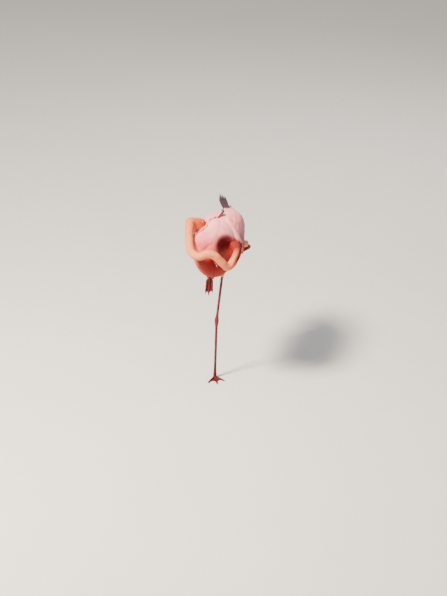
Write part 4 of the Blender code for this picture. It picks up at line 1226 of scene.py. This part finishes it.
def trunk_places(points):
    """The place along the trunk and the turn round it from its back, for points near it."""
    offset = points - np.array(TRUNK_MIDDLE)
    return offset[:, 1], np.arctan2(offset[:, 0] - TRUNK_LEAN * offset[:, 2], offset[:, 2])


def regions_of(points):
    """Which region of the skin each point belongs to."""
    kinds = np.full(len(points), TRUNK)
    s, turn = trunk_places(points)
    egg = grid(body_point(float(a), float(b))
               for a, b in zip(np.clip(s, -TRUNK_FRONT, TRUNK_REAR), turn))
    middle = np.array(TRUNK_MIDDLE) * [1, 0, 1]
    out = np.linalg.norm((points - middle) * [1, 0, 1], axis=1)
    full = np.linalg.norm((egg - middle) * [1, 0, 1], axis=1)
    kinds[(out > full - BODY_COAT + 0.0015) & (np.abs(turn) < math.radians(118))] = ARM
    kinds[points[:, 1] > TRUNK_ROOT_END] = RUMP
    for hip, cuff, wide, narrow in THIGHS:
        away, share = thigh_places(points, hip, cuff)
        girth = narrow + (wide - narrow) * (1 - np.clip(share, 0, 1)) ** 1.4
        kinds[(away < girth + 0.001) & (share > 0.38) & (share < 1.02)] = THIGH
    away, _, radius = neck_share(points)
    kinds[away < radius + 0.004] = NECK
    place = head_places(points)
    kinds[(place[:, 0] > HEAD_NAPE + 0.004) & (place[:, 0] < HEAD_FACE + 0.006)
          & (np.hypot(place[:, 1], place[:, 2]) < 0.036)] = HEAD
    return kinds


def near(points, place, reach):
    """From 1 at a place to 0 well past its reach."""
    away = np.linalg.norm(points - np.array(place), axis=1)
    return np.exp(-(away / reach) ** 2)


def marks(points, kinds):
    """How orange, rosy, purple-grey and deep crimson the plumage is at each point. The purple-grey,
    most of the crimson and the darkest reds low on the breast are painted shade.
    """
    s, _ = trunk_places(points)
    high = points[:, 2]
    front = np.clip((FRONT_START - s) / FRONT_RUN, 0, 1)
    warmth = BACK_WARMTH + FRONT_WARMTH * front * np.clip((FRONT_TOP - high) / FRONT_FALL, 0, 1)
    # Warmer in the breast and belly; the darkest reds, low on the front, are partly painted shade
    warmth += (np.clip((BREAST_TOP - high) / BREAST_FALL, 0, 1)
               * (BELLY_WARMTH + BREAST_WARMTH_AND_SHADE * front))
    out = {kind: np.zeros(len(points)) for kind in ("rose", "mauve_shade", "depth")}
    for kind, middle, reach, strength in COLOUR_AND_SHADE_MARKS:
        out[kind] += strength * near(points, middle, reach)
    out = {kind: np.clip(value, 0, MOST_MARK) for kind, value in out.items()}
    neck, head = kinds == NECK, kinds == HEAD
    _, share, _ = neck_share(points)
    place = head_places(points)
    warmth[neck] = (NECK_WARMTH + NAPE_WARMTH * np.clip(share[neck] - NAPE_START, 0, 1)
                    / (1 - NAPE_START))
    warmth[head] = HEAD_WARMTH + FACE_WARMTH * np.clip(place[head, 0] / HEAD_FACE, -1, 1)
    warmth[kinds == THIGH] = THIGH_WARMTH
    warmth[kinds == ARM] = np.minimum(warmth[kinds == ARM], MOST_ARM_WARMTH)
    out["warmth"] = warmth
    for kind in ("rose", "mauve_shade"):
        out[kind][neck | head] = 0
    # Painted shade in crimson: the neck's root under the left wing, the side of the neck that faces
    # the wing, and the crease under the jaw
    root = MOST_MARK * np.clip(1 - (share - ROOT_END) / ROOT_FADE, 0, 1)
    spine = grid(NECK_LINE)[np.rint(share * (len(NECK_LINE) - 1)).astype(int)]
    aside = np.clip((points[:, 0] - spine[:, 0] - SHADE_START) / SHADE_RUN, 0, 1)
    shaded = SHADE * aside * np.clip(1 - (share - SHADE_END) / SHADE_FADE, 0, 1)
    jaw = JAW_SHADE * near(points, head_point(*JAW_PLACE), JAW_REACH)
    out["depth"] = np.where(neck, np.maximum(root, shaded), np.where(head, jaw, out["depth"]))
    return {kind: np.clip(value, 0, 1) for kind, value in out.items()}


def flow_at(point, kind):
    """The way that feathers lie at a point of the skin."""
    if kind == NECK:
        _, share, _ = neck_share(grid([point]))
        last = len(NECK_LINE) - 1
        i = int(round(share[0] * last))
        return (NECK_LINE[max(i - 1, 0)] - NECK_LINE[min(i + 1, last)]).normalized()
    if kind == HEAD:
        forward, _, up = head_axes()
        return (-forward - up * 0.12).normalized()
    if kind == THIGH:
        hip, cuff = min(((hip, cuff) for hip, cuff, _, _ in THIGHS),
                        key=lambda pair: ((pair[0] + pair[1]) / 2 - point).length)
        return (cuff - hip).normalized()
    if kind == RUMP:
        return TAIL_WAY
    front = max(0.0, min(1.0, (-0.03 - (point.y - TRUNK_MIDDLE.y)) / 0.11))
    side = max(-1.0, min(1.0, (point.x - TRUNK_MIDDLE.x) / TRUNK_HALF_WIDTH))
    above = max(0.0, min(1.0, (point.z - 0.765) / 0.05))
    back = Vector((0.12 * side, 1.0, -0.28 - 1.3 * front * (1 - 0.75 * above)))
    spread = point - NECK_SPRING
    pull = SPRING_PULL * math.exp(-(spread.length / SPRING_REACH) ** 2)
    return (back + spread.normalized() * pull).normalized()


def vertex_places(mesh):
    """The places of a mesh's points, as the rows of an array."""
    places = np.empty(len(mesh.vertices) * 3)
    mesh.vertices.foreach_get("co", places)
    return places.reshape(-1, 3)


def scatter(skin, draw):
    """Places on the skin for the roots of feathers, spaced as each region asks."""
    mesh = skin.data
    mesh.calc_loop_triangles()
    count = len(mesh.loop_triangles)
    corners = np.empty(count * 3, dtype=np.int64)
    mesh.loop_triangles.foreach_get("vertices", corners)
    corners = corners.reshape(-1, 3)
    slots = np.empty(count, dtype=np.int64)
    mesh.loop_triangles.foreach_get("material_index", slots)
    places = vertex_places(mesh)
    a, b, c = (places[corners[:, k]] for k in range(3))
    area = np.linalg.norm(np.cross(b - a, c - a), axis=1) / 2
    kinds = regions_of((a + b + c) / 3)
    spacing = np.array([row[2] for row in REGIONS.values()])
    weight = np.where(slots == PLUMAGE, area / spacing[kinds] ** 2, 0)
    total = int(weight.sum() * DRAWS_A_ROOT)
    share = np.sort(draw.random(total)) * weight.sum()
    faces = np.minimum(np.searchsorted(np.cumsum(weight), share), count - 1)
    faces = faces[draw.permutation(total)]
    u, v = draw.random(total), draw.random(total)
    over = u + v > 1
    u[over], v[over] = 1 - u[over], 1 - v[over]
    points = a[faces] + (b - a)[faces] * u[:, None] + (c - a)[faces] * v[:, None]
    cells, kept = {}, []
    for i, (point, kind) in enumerate(zip(points, kinds[faces])):
        gap = spacing[kind] * CROWDING
        home = tuple((point // CELL).astype(int))
        around = [other for dx in (-1, 0, 1) for dy in (-1, 0, 1) for dz in (-1, 0, 1)
                  for other in cells.get((home[0] + dx, home[1] + dy, home[2] + dz), ())]
        if around and (((points[around] - point) ** 2).sum(1) < gap ** 2).any():
            continue
        cells.setdefault(home, []).append(i)
        kept.append(i)
    return points[kept], kinds[faces][kept]


def lay_feathers(surface, points, kind, draw):
    """Lays a feather from each root along the skin, its tip standing a little off it."""
    _, _, _, length, _, _, lift, sections = REGIONS[kind]
    lengths = length * draw.uniform(0.82, 1.14, len(points))
    lifts = lift * draw.uniform(0.84, 1.0, len(points))
    swings = draw.normal(0, ROOT_SWING, len(points))
    lines, ups = [], []
    for i, root in enumerate(points):
        place, normal, _, _ = surface.find_nearest(Vector(root))
        way = flow_at(place, kind)
        way = (way - normal * way.dot(normal)).normalized()
        way.rotate(Matrix.Rotation(swings[i], 3, normal))
        step = lengths[i] / (sections - 1)
        line, up = [], []
        for k in range(sections):
            share = k / (sections - 1)
            rise = -ROOT_DEPTH + (lifts[i] + ROOT_DEPTH) * share ** 0.8
            line.append(tuple(place + normal * rise))
            up.append(tuple(normal))
            place, after, _, _ = surface.find_nearest(place + way * step)
            normal = (normal + after).normalized()
            way = (way - normal * way.dot(normal)).normalized()
        lines.append(line)
        ups.append(up)
    return np.array(lines), np.array(ups)


def grow_vanes(name, lines, ups, widths, outline, section, thickness, droop, colours, sheet,
               jag=None):
    """One mesh of many feathers: closed blades along their lines, rounded at their tips.

    Each line has its own ups, width, colours, place on the sheet for baking, and ragged edge. The
    outline is the width along every feather, and a section goes round it.
    """
    count, rows, _ = lines.shape
    sides = len(section)
    tangents = np.gradient(lines, axis=1)
    across = np.cross(tangents, ups)
    across /= np.linalg.norm(across, axis=2, keepdims=True)
    rise = np.cross(across, tangents)
    rise /= np.linalg.norm(rise, axis=2, keepdims=True)
    half = widths[:, None] / 2 * np.array(outline)[None, :]
    points = np.empty((count, rows, sides, 3))
    for k, (aside, above) in enumerate(section):
        reach = half * aside
        if jag is not None and abs(aside) > 0.5:
            reach = reach * jag[:, :, 0 if aside < 0 else 1]
        height = thickness * above - droop * half * aside * aside
        points[:, :, k] = lines + across * reach[..., None] + rise * height[..., None]
    shape = (count, rows, sides)
    index = np.arange(count * rows * sides).reshape(shape)
    turned = np.roll(index, -1, axis=2)
    a, b, c, d = index[:, :-1], turned[:, :-1], turned[:, 1:], index[:, 1:]
    quads = np.stack([a, d, c, b], axis=-1).reshape(-1, 4)
    ends = np.concatenate([index[:, 0], index[:, -1, ::-1]])
    mesh = bpy.data.meshes.new(name)
    mesh.vertices.add(index.size)
    mesh.vertices.foreach_set("co", points.ravel())
    loops = np.concatenate([quads.ravel(), ends.ravel()])
    starts = np.concatenate([np.arange(len(quads)) * 4,
                             len(quads) * 4 + np.arange(len(ends)) * sides])
    mesh.loops.add(len(loops))
    mesh.loops.foreach_set("vertex_index", loops.astype(np.int32))
    mesh.polygons.add(len(starts))
    mesh.polygons.foreach_set("loop_start", starts.astype(np.int32))
    mesh.update(calc_edges=True)
    along = np.broadcast_to(np.linspace(0, 1, rows)[None, :, None], shape)
    aside = np.broadcast_to(np.array([s for s, _ in section])[None, None, :], shape)
    lengths = np.linalg.norm(np.diff(lines, axis=1), axis=2).sum(1)
    values = {"along": along, "across": aside, "run": along * lengths[:, None, None] * 1000}
    for key, value in colours.items():
        values[key] = np.broadcast_to(value.reshape(count, -1, 1), shape)
    for key, value in values.items():
        set_values(mesh, key, value)
    spots = np.empty(shape + (2,))
    spots[..., 0] = sheet[:, None, None, 0] + aside * PATCH / 2
    spots[..., 1] = sheet[:, None, None, 1] + (along - 0.5) * PATCH
    layer = mesh.uv_layers.new(name="OFBake")
    layer.data.foreach_set("uv", spots.reshape(-1, 2)[loops].astype(np.float32).ravel())
    mesh.shade_smooth()
    mesh.set_sharp_from_angle(angle=math.radians(60))
    return add_object(name, mesh)


def sheet_places(points, kinds):
    """Where each root lies on an unwrap of the skin: round and along its own form."""
    out = np.empty((len(points), 2))
    s, turn = trunk_places(points)
    _, share, _ = neck_share(points)
    place = head_places(points)
    frames = route_frames(NECK_LINE, Vector((0, 0, 1)))
    knots = (share * (len(NECK_LINE) - 1)).astype(int)
    beside = grid(frame[1] for frame in frames)[knots]
    above = grid(frame[2] for frame in frames)[knots]
    offset = points - grid(NECK_LINE)[knots]
    neck_turn = np.arctan2((offset * above).sum(1), (offset * beside).sum(1))
    _, folded = thigh_places(points, FOLD_HIP, FOLD_CUFF)
    body_run = (s + TRUNK_FRONT) / SHEET_BODY
    unwraps = {
        TRUNK: (turn, body_run), ARM: (turn, body_run), NECK: (neck_turn, share),
        RUMP: (turn, (points[:, 1] - TRUNK_ROOT_END) / SHEET_END), THIGH: (turn, folded),
        HEAD: (np.arctan2(place[:, 2], place[:, 1]), (place[:, 0] - HEAD_NAPE) / SHEET_END),
    }
    for kind, (around, run) in unwraps.items():
        mine = kinds == kind
        left, low, right, high = SHEETS[kind]
        out[mine, 0] = left + (right - left) * (around[mine] / (2 * math.pi) + 0.5)
        out[mine, 1] = low + (high - low) * np.clip(run[mine], 0, 1)
    return out


def make_skin(looks):
    """One closed skin over all the flesh, from the bill to the toes, with no seam.

    The sole is pressed flat on the floor, and the skin gets its colour marks, painted shade among
    them.
    """
    forms = [make_trunk_form(), make_arm_form(1), make_arm_form(-1), make_neck_form(),
             make_head_form(), make_tail_form()]
    forms += [make_thigh_form(*thigh) for thigh in THIGHS]
    skin = join_all(forms, "skin")
    apply_modifier(skin, "REMESH", mode="VOXEL", voxel_size=SKIN_VOXEL)
    apply_modifier(skin, "SMOOTH", factor=0.5, iterations=4)
    stand, folded = feet_places()
    stand_start = STAND_CUFF - (STAND_CUFF - STAND_HIP).normalized() * SLEEVE_OVERLAP
    fold_start = FOLD_CUFF - (FOLD_CUFF - FOLD_HIP).normalized() * SLEEVE_OVERLAP
    closed = [(word, length, angle * FOLD_SPREAD) for word, length, angle in TOES]
    pieces = [make_leg_form(stand_start, STAND_ANKLE, STAND_HEEL, STAND_SLEEVE, ANKLE_RADIUS),
              make_leg_form(fold_start, FOLD_ANKLE, FOLD_HEEL, FOLD_SLEEVE, FOLD_ANKLE_RADIUS),
              make_foot_form(stand, STAND_HEEL, TOES, *STAND_WEB),
              make_foot_form(folded, FOLD_HEEL, closed, *FOLD_WEB)]
    for piece in [skin] + pieces:
        piece.data.materials.clear()
        for look in looks:
            piece.data.materials.append(look)
    for piece, slot in zip(pieces, (LEG, LEG, FOOT, FOOT)):
        for face in piece.data.polygons:
            face.material_index = slot
    unite(skin, pieces)
    keep_largest(skin)
    for vertex in skin.data.vertices:
        vertex.co.z = max(vertex.co.z, 0.0)
    mark_skin(skin)
    return skin


def keep_largest(thing):
    """Drops every closed surface of a mesh but the one with the most faces."""
    form = bmesh.new()
    form.from_mesh(thing.data)
    left, islands = set(form.faces), []
    while left:
        island, ahead = [], [left.pop()]
        while ahead:
            face = ahead.pop()
            island.append(face)
            for edge in face.edges:
                for other in edge.link_faces:
                    if other in left:
                        left.discard(other)
                        ahead.append(other)
        islands.append(island)
    islands.sort(key=len, reverse=True)
    loose = [face for island in islands[1:] for face in island]
    bmesh.ops.delete(form, geom=loose, context="FACES")
    form.to_mesh(thing.data)
    form.free()


def mark_skin(skin):
    """Gives the skin the same colour marks, painted shade among them, as the feathers that grow
    from it.
    """
    points = vertex_places(skin.data)
    values = marks(points, regions_of(points))
    values["tint"] = np.full(len(points), SKIN_TINT)
    values["across"] = np.full(len(points), BESIDE_SHAFT)
    # Crimson on the ankles: partly their own red, partly painted shade
    for ankle in (STAND_ANKLE, FOLD_ANKLE):
        knob = ANKLE_SHADE * near(points, ankle, ANKLE_SHADE_REACH)
        values["depth"] = np.maximum(values["depth"], knob)
    for key, value in values.items():
        set_values(skin.data, key, value)


def blade_marks(lines, kind, extra_warmth, draw):
    """The colour marks of feathers, painted shade among them, section by section, and each
    feather's own tint.
    """
    count, rows, _ = lines.shape
    flat = lines.reshape(-1, 3)
    colours = marks(flat, np.full(len(flat), kind))
    tint = draw.random(count)
    if kind in (TRUNK, ARM):
        speckled = tint.repeat(rows) > SPECKLE_FREE
        darker = SPECKLE_SHADE * (near(flat, SPECKLE_MIDDLE, SPECKLE_REACH) * speckled)
        colours["depth"] = np.clip(colours["depth"] + darker, 0, MOST_MARK)
    own = draw.normal(0, 0.03, count).repeat(rows)
    colours["warmth"] = np.clip(colours["warmth"] + extra_warmth + own, 0, 1)
    colours = {key: value.reshape(count, rows) for key, value in colours.items()}
    colours["tint"] = tint
    return colours


def hidden(points, lines, kind):
    """Which feathers would lie inside the neck or the head, on an eye or on the folded foot."""
    tips = lines[:, -1]
    out = np.linalg.norm(points - np.array(FOLD_HEEL), axis=1) < FOOT_BARE
    if kind not in (NECK, HEAD):
        away, _, radius = neck_share(tips)
        place = head_places(tips)
        out |= away < radius - 0.001
        out |= ((place[:, 0] > HEAD_NAPE) & (place[:, 0] < HEAD_FACE)
                & (np.hypot(place[:, 1], place[:, 2]) < 0.023))
    for side in (1, -1):
        centre = np.array(eye_place(side)[0])
        for spots in (points, tips, lines[:, 2]):
            out |= np.linalg.norm(spots - centre, axis=1) < EYE_RADIUS * EYE_RING
    return out


def make_coat(skin, look, draw):
    """All the small feathers: on the trunk, the shoulders, the neck, the head and the thighs."""
    surface = BVHTree.FromObject(skin, bpy.context.evaluated_depsgraph_get())
    all_points, all_kinds = scatter(skin, draw)
    pieces = []
    for kind, (name, slot, _, _, width, thickness, _, sections) in REGIONS.items():
        points = all_points[all_kinds == kind]
        lines, ups = lay_feathers(surface, points, kind, draw)
        keep = ~hidden(points, lines, kind)
        points, lines, ups = points[keep], lines[keep], ups[keep]
        colours = blade_marks(lines, kind, 0, draw)
        widths = width * draw.uniform(0.85, 1.15, len(points))
        jag = 1 - 0.16 * draw.random((len(points), sections, 2))
        outline = np.interp(np.linspace(0, 1, sections), (0, 0.25, 0.5, 0.75, 1),
                            (0.42, 0.92, 1.0, 0.78, 0.14))
        sheet = sheet_places(points, np.full(len(points), kind))
        shares = math.ceil(len(points) / MOST_FEATHERS)
        for part, mine in enumerate(np.array_split(np.argsort(sheet[:, 1]), shares)):
            title = f"{name}_{part + 1}" if shares > 1 else name
            own = {key: value[mine] for key, value in colours.items()}
            piece = grow_vanes(title, lines[mine], ups[mine], widths[mine], outline,
                               SMALL_SECTION, thickness, 0.10, own, sheet[mine], jag[mine])
            piece.data.materials.append(look)
            pieces.append((piece, slot, ()))
    pieces.append((make_curl(surface, look, draw), "plumage_pink", ()))
    return pieces


def make_curl(surface, look, draw):
    """Two feathers that curl up off the breast, in the palest pink with the brightest tint: partly
    their own colour and partly a painted highlight.
    """
    rows = 10
    lines, ups = [], []
    for first, last, arch in CURLS:
        line, up = [], []
        for t in np.linspace(0, 1, rows).tolist():
            place, normal, _, _ = surface.find_nearest(Vector(first).lerp(Vector(last), t))
            bow = Vector((0, 0, arch * math.sin(math.pi * t)))
            line.append(tuple(place + bow + normal * (CURL_LIFT + CURL_TIP_RISE * t * t)))
            up.append(tuple(normal))
        lines.append(line)
        ups.append(up)
    lines, ups = np.array(lines), np.array(ups)
    outline = np.interp(np.linspace(0, 1, rows), (0, 0.3, 0.7, 1), (0.35, 1.0, 0.9, 0.12))
    colours = {key: np.zeros(len(lines)) for key in ("rose", "mauve_shade", "depth")}
    # Palest warmth and brightest tint: partly a painted highlight on the curls
    colours["warmth"] = np.full(len(lines), 0.06)
    colours["tint"] = np.full(len(lines), 1.0)
    jag = 1 - 0.10 * draw.random((len(lines), rows, 2))
    points = lines[:, 0]
    curl = grow_vanes("coat_curl", lines, ups, np.full(len(lines), CURL_WIDTH), outline,
                      LARGE_SECTION, 0.0004, 0.10, colours,
                      sheet_places(points, np.full(len(points), TRUNK)), jag)
    curl.data.materials.append(look)
    return curl


def make_wing(side, name, look, draw):
    """The larger feathers of a folded wing, in tiers that overlap like tiles."""
    lines, ups, widths, sheet = [], [], [], []
    tilt = Matrix.Rotation(side * WING_TILT, 3, Vector((0, 1, 0)))
    for tier in LEFT_TIERS if side > 0 else RIGHT_TIERS:
        count, first, last, s, longest, shortest, width, height, sweep = tier
        for i in range(count):
            share = i / (count - 1)
            turn = first + (last - first) * share + draw.uniform(-1.4, 1.4)
            length = (longest + (shortest - longest) * share) * draw.uniform(0.90, 1.05)
            start = s + draw.uniform(-0.008, 0.008)
            sway = draw.uniform(-3.0, 3.0)
            lift_tip = draw.uniform(-0.0008, 0.0008)
            line, up = [], []
            for t in STEPS:
                lift = height + WING_LIFT - WING_SUNK * (1 - t) ** 3 + lift_tip * t
                around = math.radians(turn - sweep * t + sway * math.sin(math.pi * t) * t)
                point, normal = cloak_point(side, start + length * t, around, lift)
                line.append(tuple(point))
                up.append(tuple(tilt @ normal))
            lines.append(line)
            ups.append(up)
            widths.append(width * draw.uniform(0.88, 1.10))
            sheet.append((0.5 + side * turn / 400, 0.45 + start))
    lines, ups = np.array(lines), np.array(ups)
    outline = np.interp(STEPS, (0, 0.12, 0.35, 0.70, 0.86, 0.95, 1),
                        (0.30, 0.66, 1.0, 0.96, 0.76, 0.44, 0.10))
    jag = 1 - 0.07 * draw.random((len(lines), ROWS, 2))
    notch = draw.random((len(lines), ROWS, 2)) < 0.04
    jag[notch] *= 0.82
    wing = grow_vanes(name, lines, ups, np.array(widths), outline, LARGE_SECTION, 0.0006, 0.06,
                      blade_marks(lines, ARM, 0.05, draw), np.array(sheet), jag)
    wing.data.materials.append(look)
    return wing


def straight_blades(name, blades, outline, look, draw, extra_warmth):
    """Blades of one fan, each with its start, heading, upper side, length, width and curl."""
    lines, ups, widths = [], [], []
    for start, heading, up, length, width, curl in blades:
        lines.append([tuple(start + heading * length * t + up * curl * t * t) for t in STEPS])
        ups.append([tuple(up)] * ROWS)
        widths.append(width)
    lines, ups = np.array(lines), np.array(ups)
    jag = 1 - 0.05 * draw.random((len(lines), ROWS, 2))
    colours = blade_marks(lines, RUMP, extra_warmth, draw)
    sheet = np.column_stack([np.linspace(0.1, 0.9, len(lines)), np.full(len(lines), 0.5)])
    fan = grow_vanes(name, lines, ups, np.array(widths), outline, LARGE_SECTION, 0.0009, 0.08,
                     colours, sheet, jag)
    fan.data.materials.append(look)
    return fan


def make_tail(look, draw):
    """Twelve tail feathers in a fan, with two rows of coverts over and one under them."""
    side = TAIL_WAY.cross(Vector((0, 0, 1))).normalized()
    up = side.cross(TAIL_WAY)
    blades = []
    for count, share, width, height, back in TAIL_ROWS:
        middle = (count - 1) / 2
        for i in range(count):
            swing = TAIL_FAN / 2 * (i - middle) / middle
            heading = TAIL_WAY * math.cos(swing) + side * math.sin(swing)
            start = (TAIL_ROOT + TAIL_WAY * back + side * TAIL_HALF_ROOT * (i - middle) / middle
                     + up * (height - TAIL_PITCH * abs(i - middle)))
            length = TAIL_LENGTH * share * draw.uniform(0.96, 1.04)
            blades.append((start, heading, up, length, width, 0.0))
    outline = np.interp(STEPS, (0, 0.2, 0.6, 0.85, 0.95, 1),
                        (0.35, 0.70, 1.0, 0.95, 0.60, 0.15))
    return straight_blades("tail_feathers", blades, outline, look, draw, 0.06)


def make_primaries(word, look, draw):
    """The black tips of the longest flight feathers, folded over each other like a fan."""
    root, tip, up = PRIMARIES[word]
    way = (tip - root).normalized()
    side = way.cross(up).normalized()
    up = side.cross(way)
    middle = (PRIMARY_COUNT - 1) / 2
    blades = []
    for i in range(PRIMARY_COUNT):
        swing = PRIMARY_FAN * (i - middle) / middle
        length = (tip - root).length * (1 - 0.10 * abs(i - middle) + 0.03 * i)
        heading = way * math.cos(swing) + side * math.sin(swing)
        start = root + side * PRIMARY_APART * (i - middle) + up * PRIMARY_PITCH * (i - middle)
        width = PRIMARY_WIDTH * draw.uniform(0.95, 1.05)
        blades.append((start, heading, up, length, width, PRIMARY_CURL))
    outline = np.interp(STEPS, (0, 0.3, 0.7, 0.85, 0.95, 1),
                        (0.45, 0.75, 1.0, 0.80, 0.42, 0.08))
    return straight_blades(f"flight_feathers_{word}", blades, outline, look, draw, 0)


def smooth(thing, sharp=45):
    """Shades a piece smooth, apart from the edges that turn by more than an angle in degrees."""
    only(thing)
    bpy.ops.object.shade_smooth_by_angle(angle=math.radians(sharp))


def to_origin():
    """From the drawing's place to the frame's origin, which is under the middle toe."""
    sole = toe_route(feet_places()[0], SOLE_MIDDLE, TOES[1][2])[-1]
    return Vector((-sole.x, -sole.y, 0))


def claim(piece, nodes=()):
    """Puts a piece in place, on the one body, with the nodes that it stands for."""
    piece.data.transform(Matrix.Translation(to_origin()))
    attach(piece, "root")
    if nodes:
        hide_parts(*nodes)


def make_bird():
    """Every piece of the bird, with its finish and the nodes that it stands for."""
    draw = np.random.default_rng(SEED)
    feather, black = make_plumage(), make_black_feather()
    # Leg and foot colours: their own dusky red, darkened partly as painted shade of the body's
    # shadow
    leg = make_scaled_skin("leg_scutes", "#3E1018", "#7A1E28", 0.45, 2.4)
    foot = make_scaled_skin("foot_scales", "#3E040C", "#6E101A", 0.55, 1.8)
    claw = make_horn("claw_keratin", "#16100F", "#2C2220", 0.28)
    bill = make_bill_horn()
    iris, pupil = make_iris(), make_pupil()

    skin = make_skin([feather, leg, foot])
    pieces = make_coat(skin, feather, draw)
    smooth(skin, 70)
    flesh = ["torso", "head", "thigh_left", "thigh_right", "tibia_left", "tibia_right",
             "tarsus_left", "tarsus_right", "foot_left", "foot_right"]
    flesh += [f"neck_{i + 1}" for i in range(6)]
    pieces.append((skin, "plumage_pink", flesh))
    for side, word in ((1, "left"), (-1, "right")):
        wing = make_wing(side, f"wing_feathers_{word}", feather, draw)
        pieces.append((wing, "plumage_pink", [f"wing_{word}"]))
    pieces.append((make_tail(feather, draw), "plumage_pink", ["tail"]))
    for word in ("left", "right"):
        fan = make_primaries(word, black, draw)
        pieces.append((fan, "black_feather", [f"primaries_{word}"]))

    lid_skin = make_scaled_skin("lid_skin", "#E08A70", "#EBA084", 0.60, 0.4)
    for side, word in ((1, "left"), (-1, "right")):
        eye = make_eye(side, f"eyeball_{word}", iris, pupil)
        smooth(eye)
        pieces.append((eye, "eye", [f"eye_{word}"]))
        lid = make_lid(side, f"lids_{word}")
        lid.data.materials.append(lid_skin)
        smooth(lid, 60)
        pieces.append((lid, "plumage_orange", ()))

    upper, lower = make_bill(True, "bill_top"), make_bill(False, "bill_bottom")
    for cutter in make_nostril_cutters():
        apply_modifier(upper, "BOOLEAN", operation="DIFFERENCE", object=cutter, solver="EXACT")
        bpy.data.objects.remove(cutter, do_unlink=True)
    for half, old in ((upper, "bill_upper"), (lower, "bill_lower")):
        half.data.materials.append(bill)
        smooth(half, 40)
        pieces.append((half, "bill_horn", [old]))

    stand, folded = feet_places()
    for word, foot_place, spread in (("right", stand, 1.0), ("left", folded, FOLD_SPREAD)):
        for toe, length, angle in TOES:
            horn = make_claw(f"nail_{word}_{toe}", foot_place, length, angle * spread)
            horn.data.materials.append(claw)
            smooth(horn)
            pieces.append((horn, "claw_horn", [f"claw_{word}_{toe}"]))
    for piece, slot, nodes in pieces:
        claim(piece, nodes)


def make_studio():
    """The floor, the lights and the camera."""
    deselect()
    bpy.ops.mesh.primitive_plane_add(size=FLOOR_SIZE, location=(0, 0, 0))
    floor = bpy.context.object
    floor.name = floor.data.name = "studio_floor"
    floor.data.materials.append(make_floor_paint())

    world = bpy.data.worlds.new("studio")
    bpy.context.scene.world = world
    world.use_nodes = True
    back = world.node_tree.nodes["Background"]
    back.inputs["Color"].default_value = linear(WORLD_COLOUR)
    back.inputs["Strength"].default_value = WORLD_STRENGTH

    for name, place, size, power, colour in LIGHTS:
        lamp = bpy.data.lights.new(name, "AREA")
        lamp.size, lamp.energy, lamp.color = size, power, linear(colour)[:3]
        light = add_object(name, lamp)
        light.location = place
        aim = LIGHT_TARGET - light.location
        light.rotation_euler = aim.to_track_quat("-Z", "Y").to_euler()

    rise = Vector((0, math.sin(CAMERA_RISE), math.cos(CAMERA_RISE)))
    ahead = Vector((0, math.cos(CAMERA_RISE), -math.sin(CAMERA_RISE)))
    centre = to_origin() + Vector((0, 0, WATERLINE))
    centre += Vector((1, 0, 0)) * (PICTURE_WIDTH / 2 - LEG_PIXEL[0]) * PIXEL
    centre += rise * (LEG_PIXEL[1] - PICTURE_HEIGHT / 2) * PIXEL
    lens = bpy.data.cameras.new("camera")
    lens.sensor_width = SENSOR
    lens.lens = SENSOR * CAMERA_DISTANCE / (PICTURE_HEIGHT * PIXEL)
    lens.clip_end = 200
    camera = add_object("camera", lens)
    camera.location = centre - ahead * CAMERA_DISTANCE
    camera.rotation_euler = (math.pi / 2 - CAMERA_RISE, 0, 0)
    bpy.context.scene.camera = camera


make_bird()
make_studio()
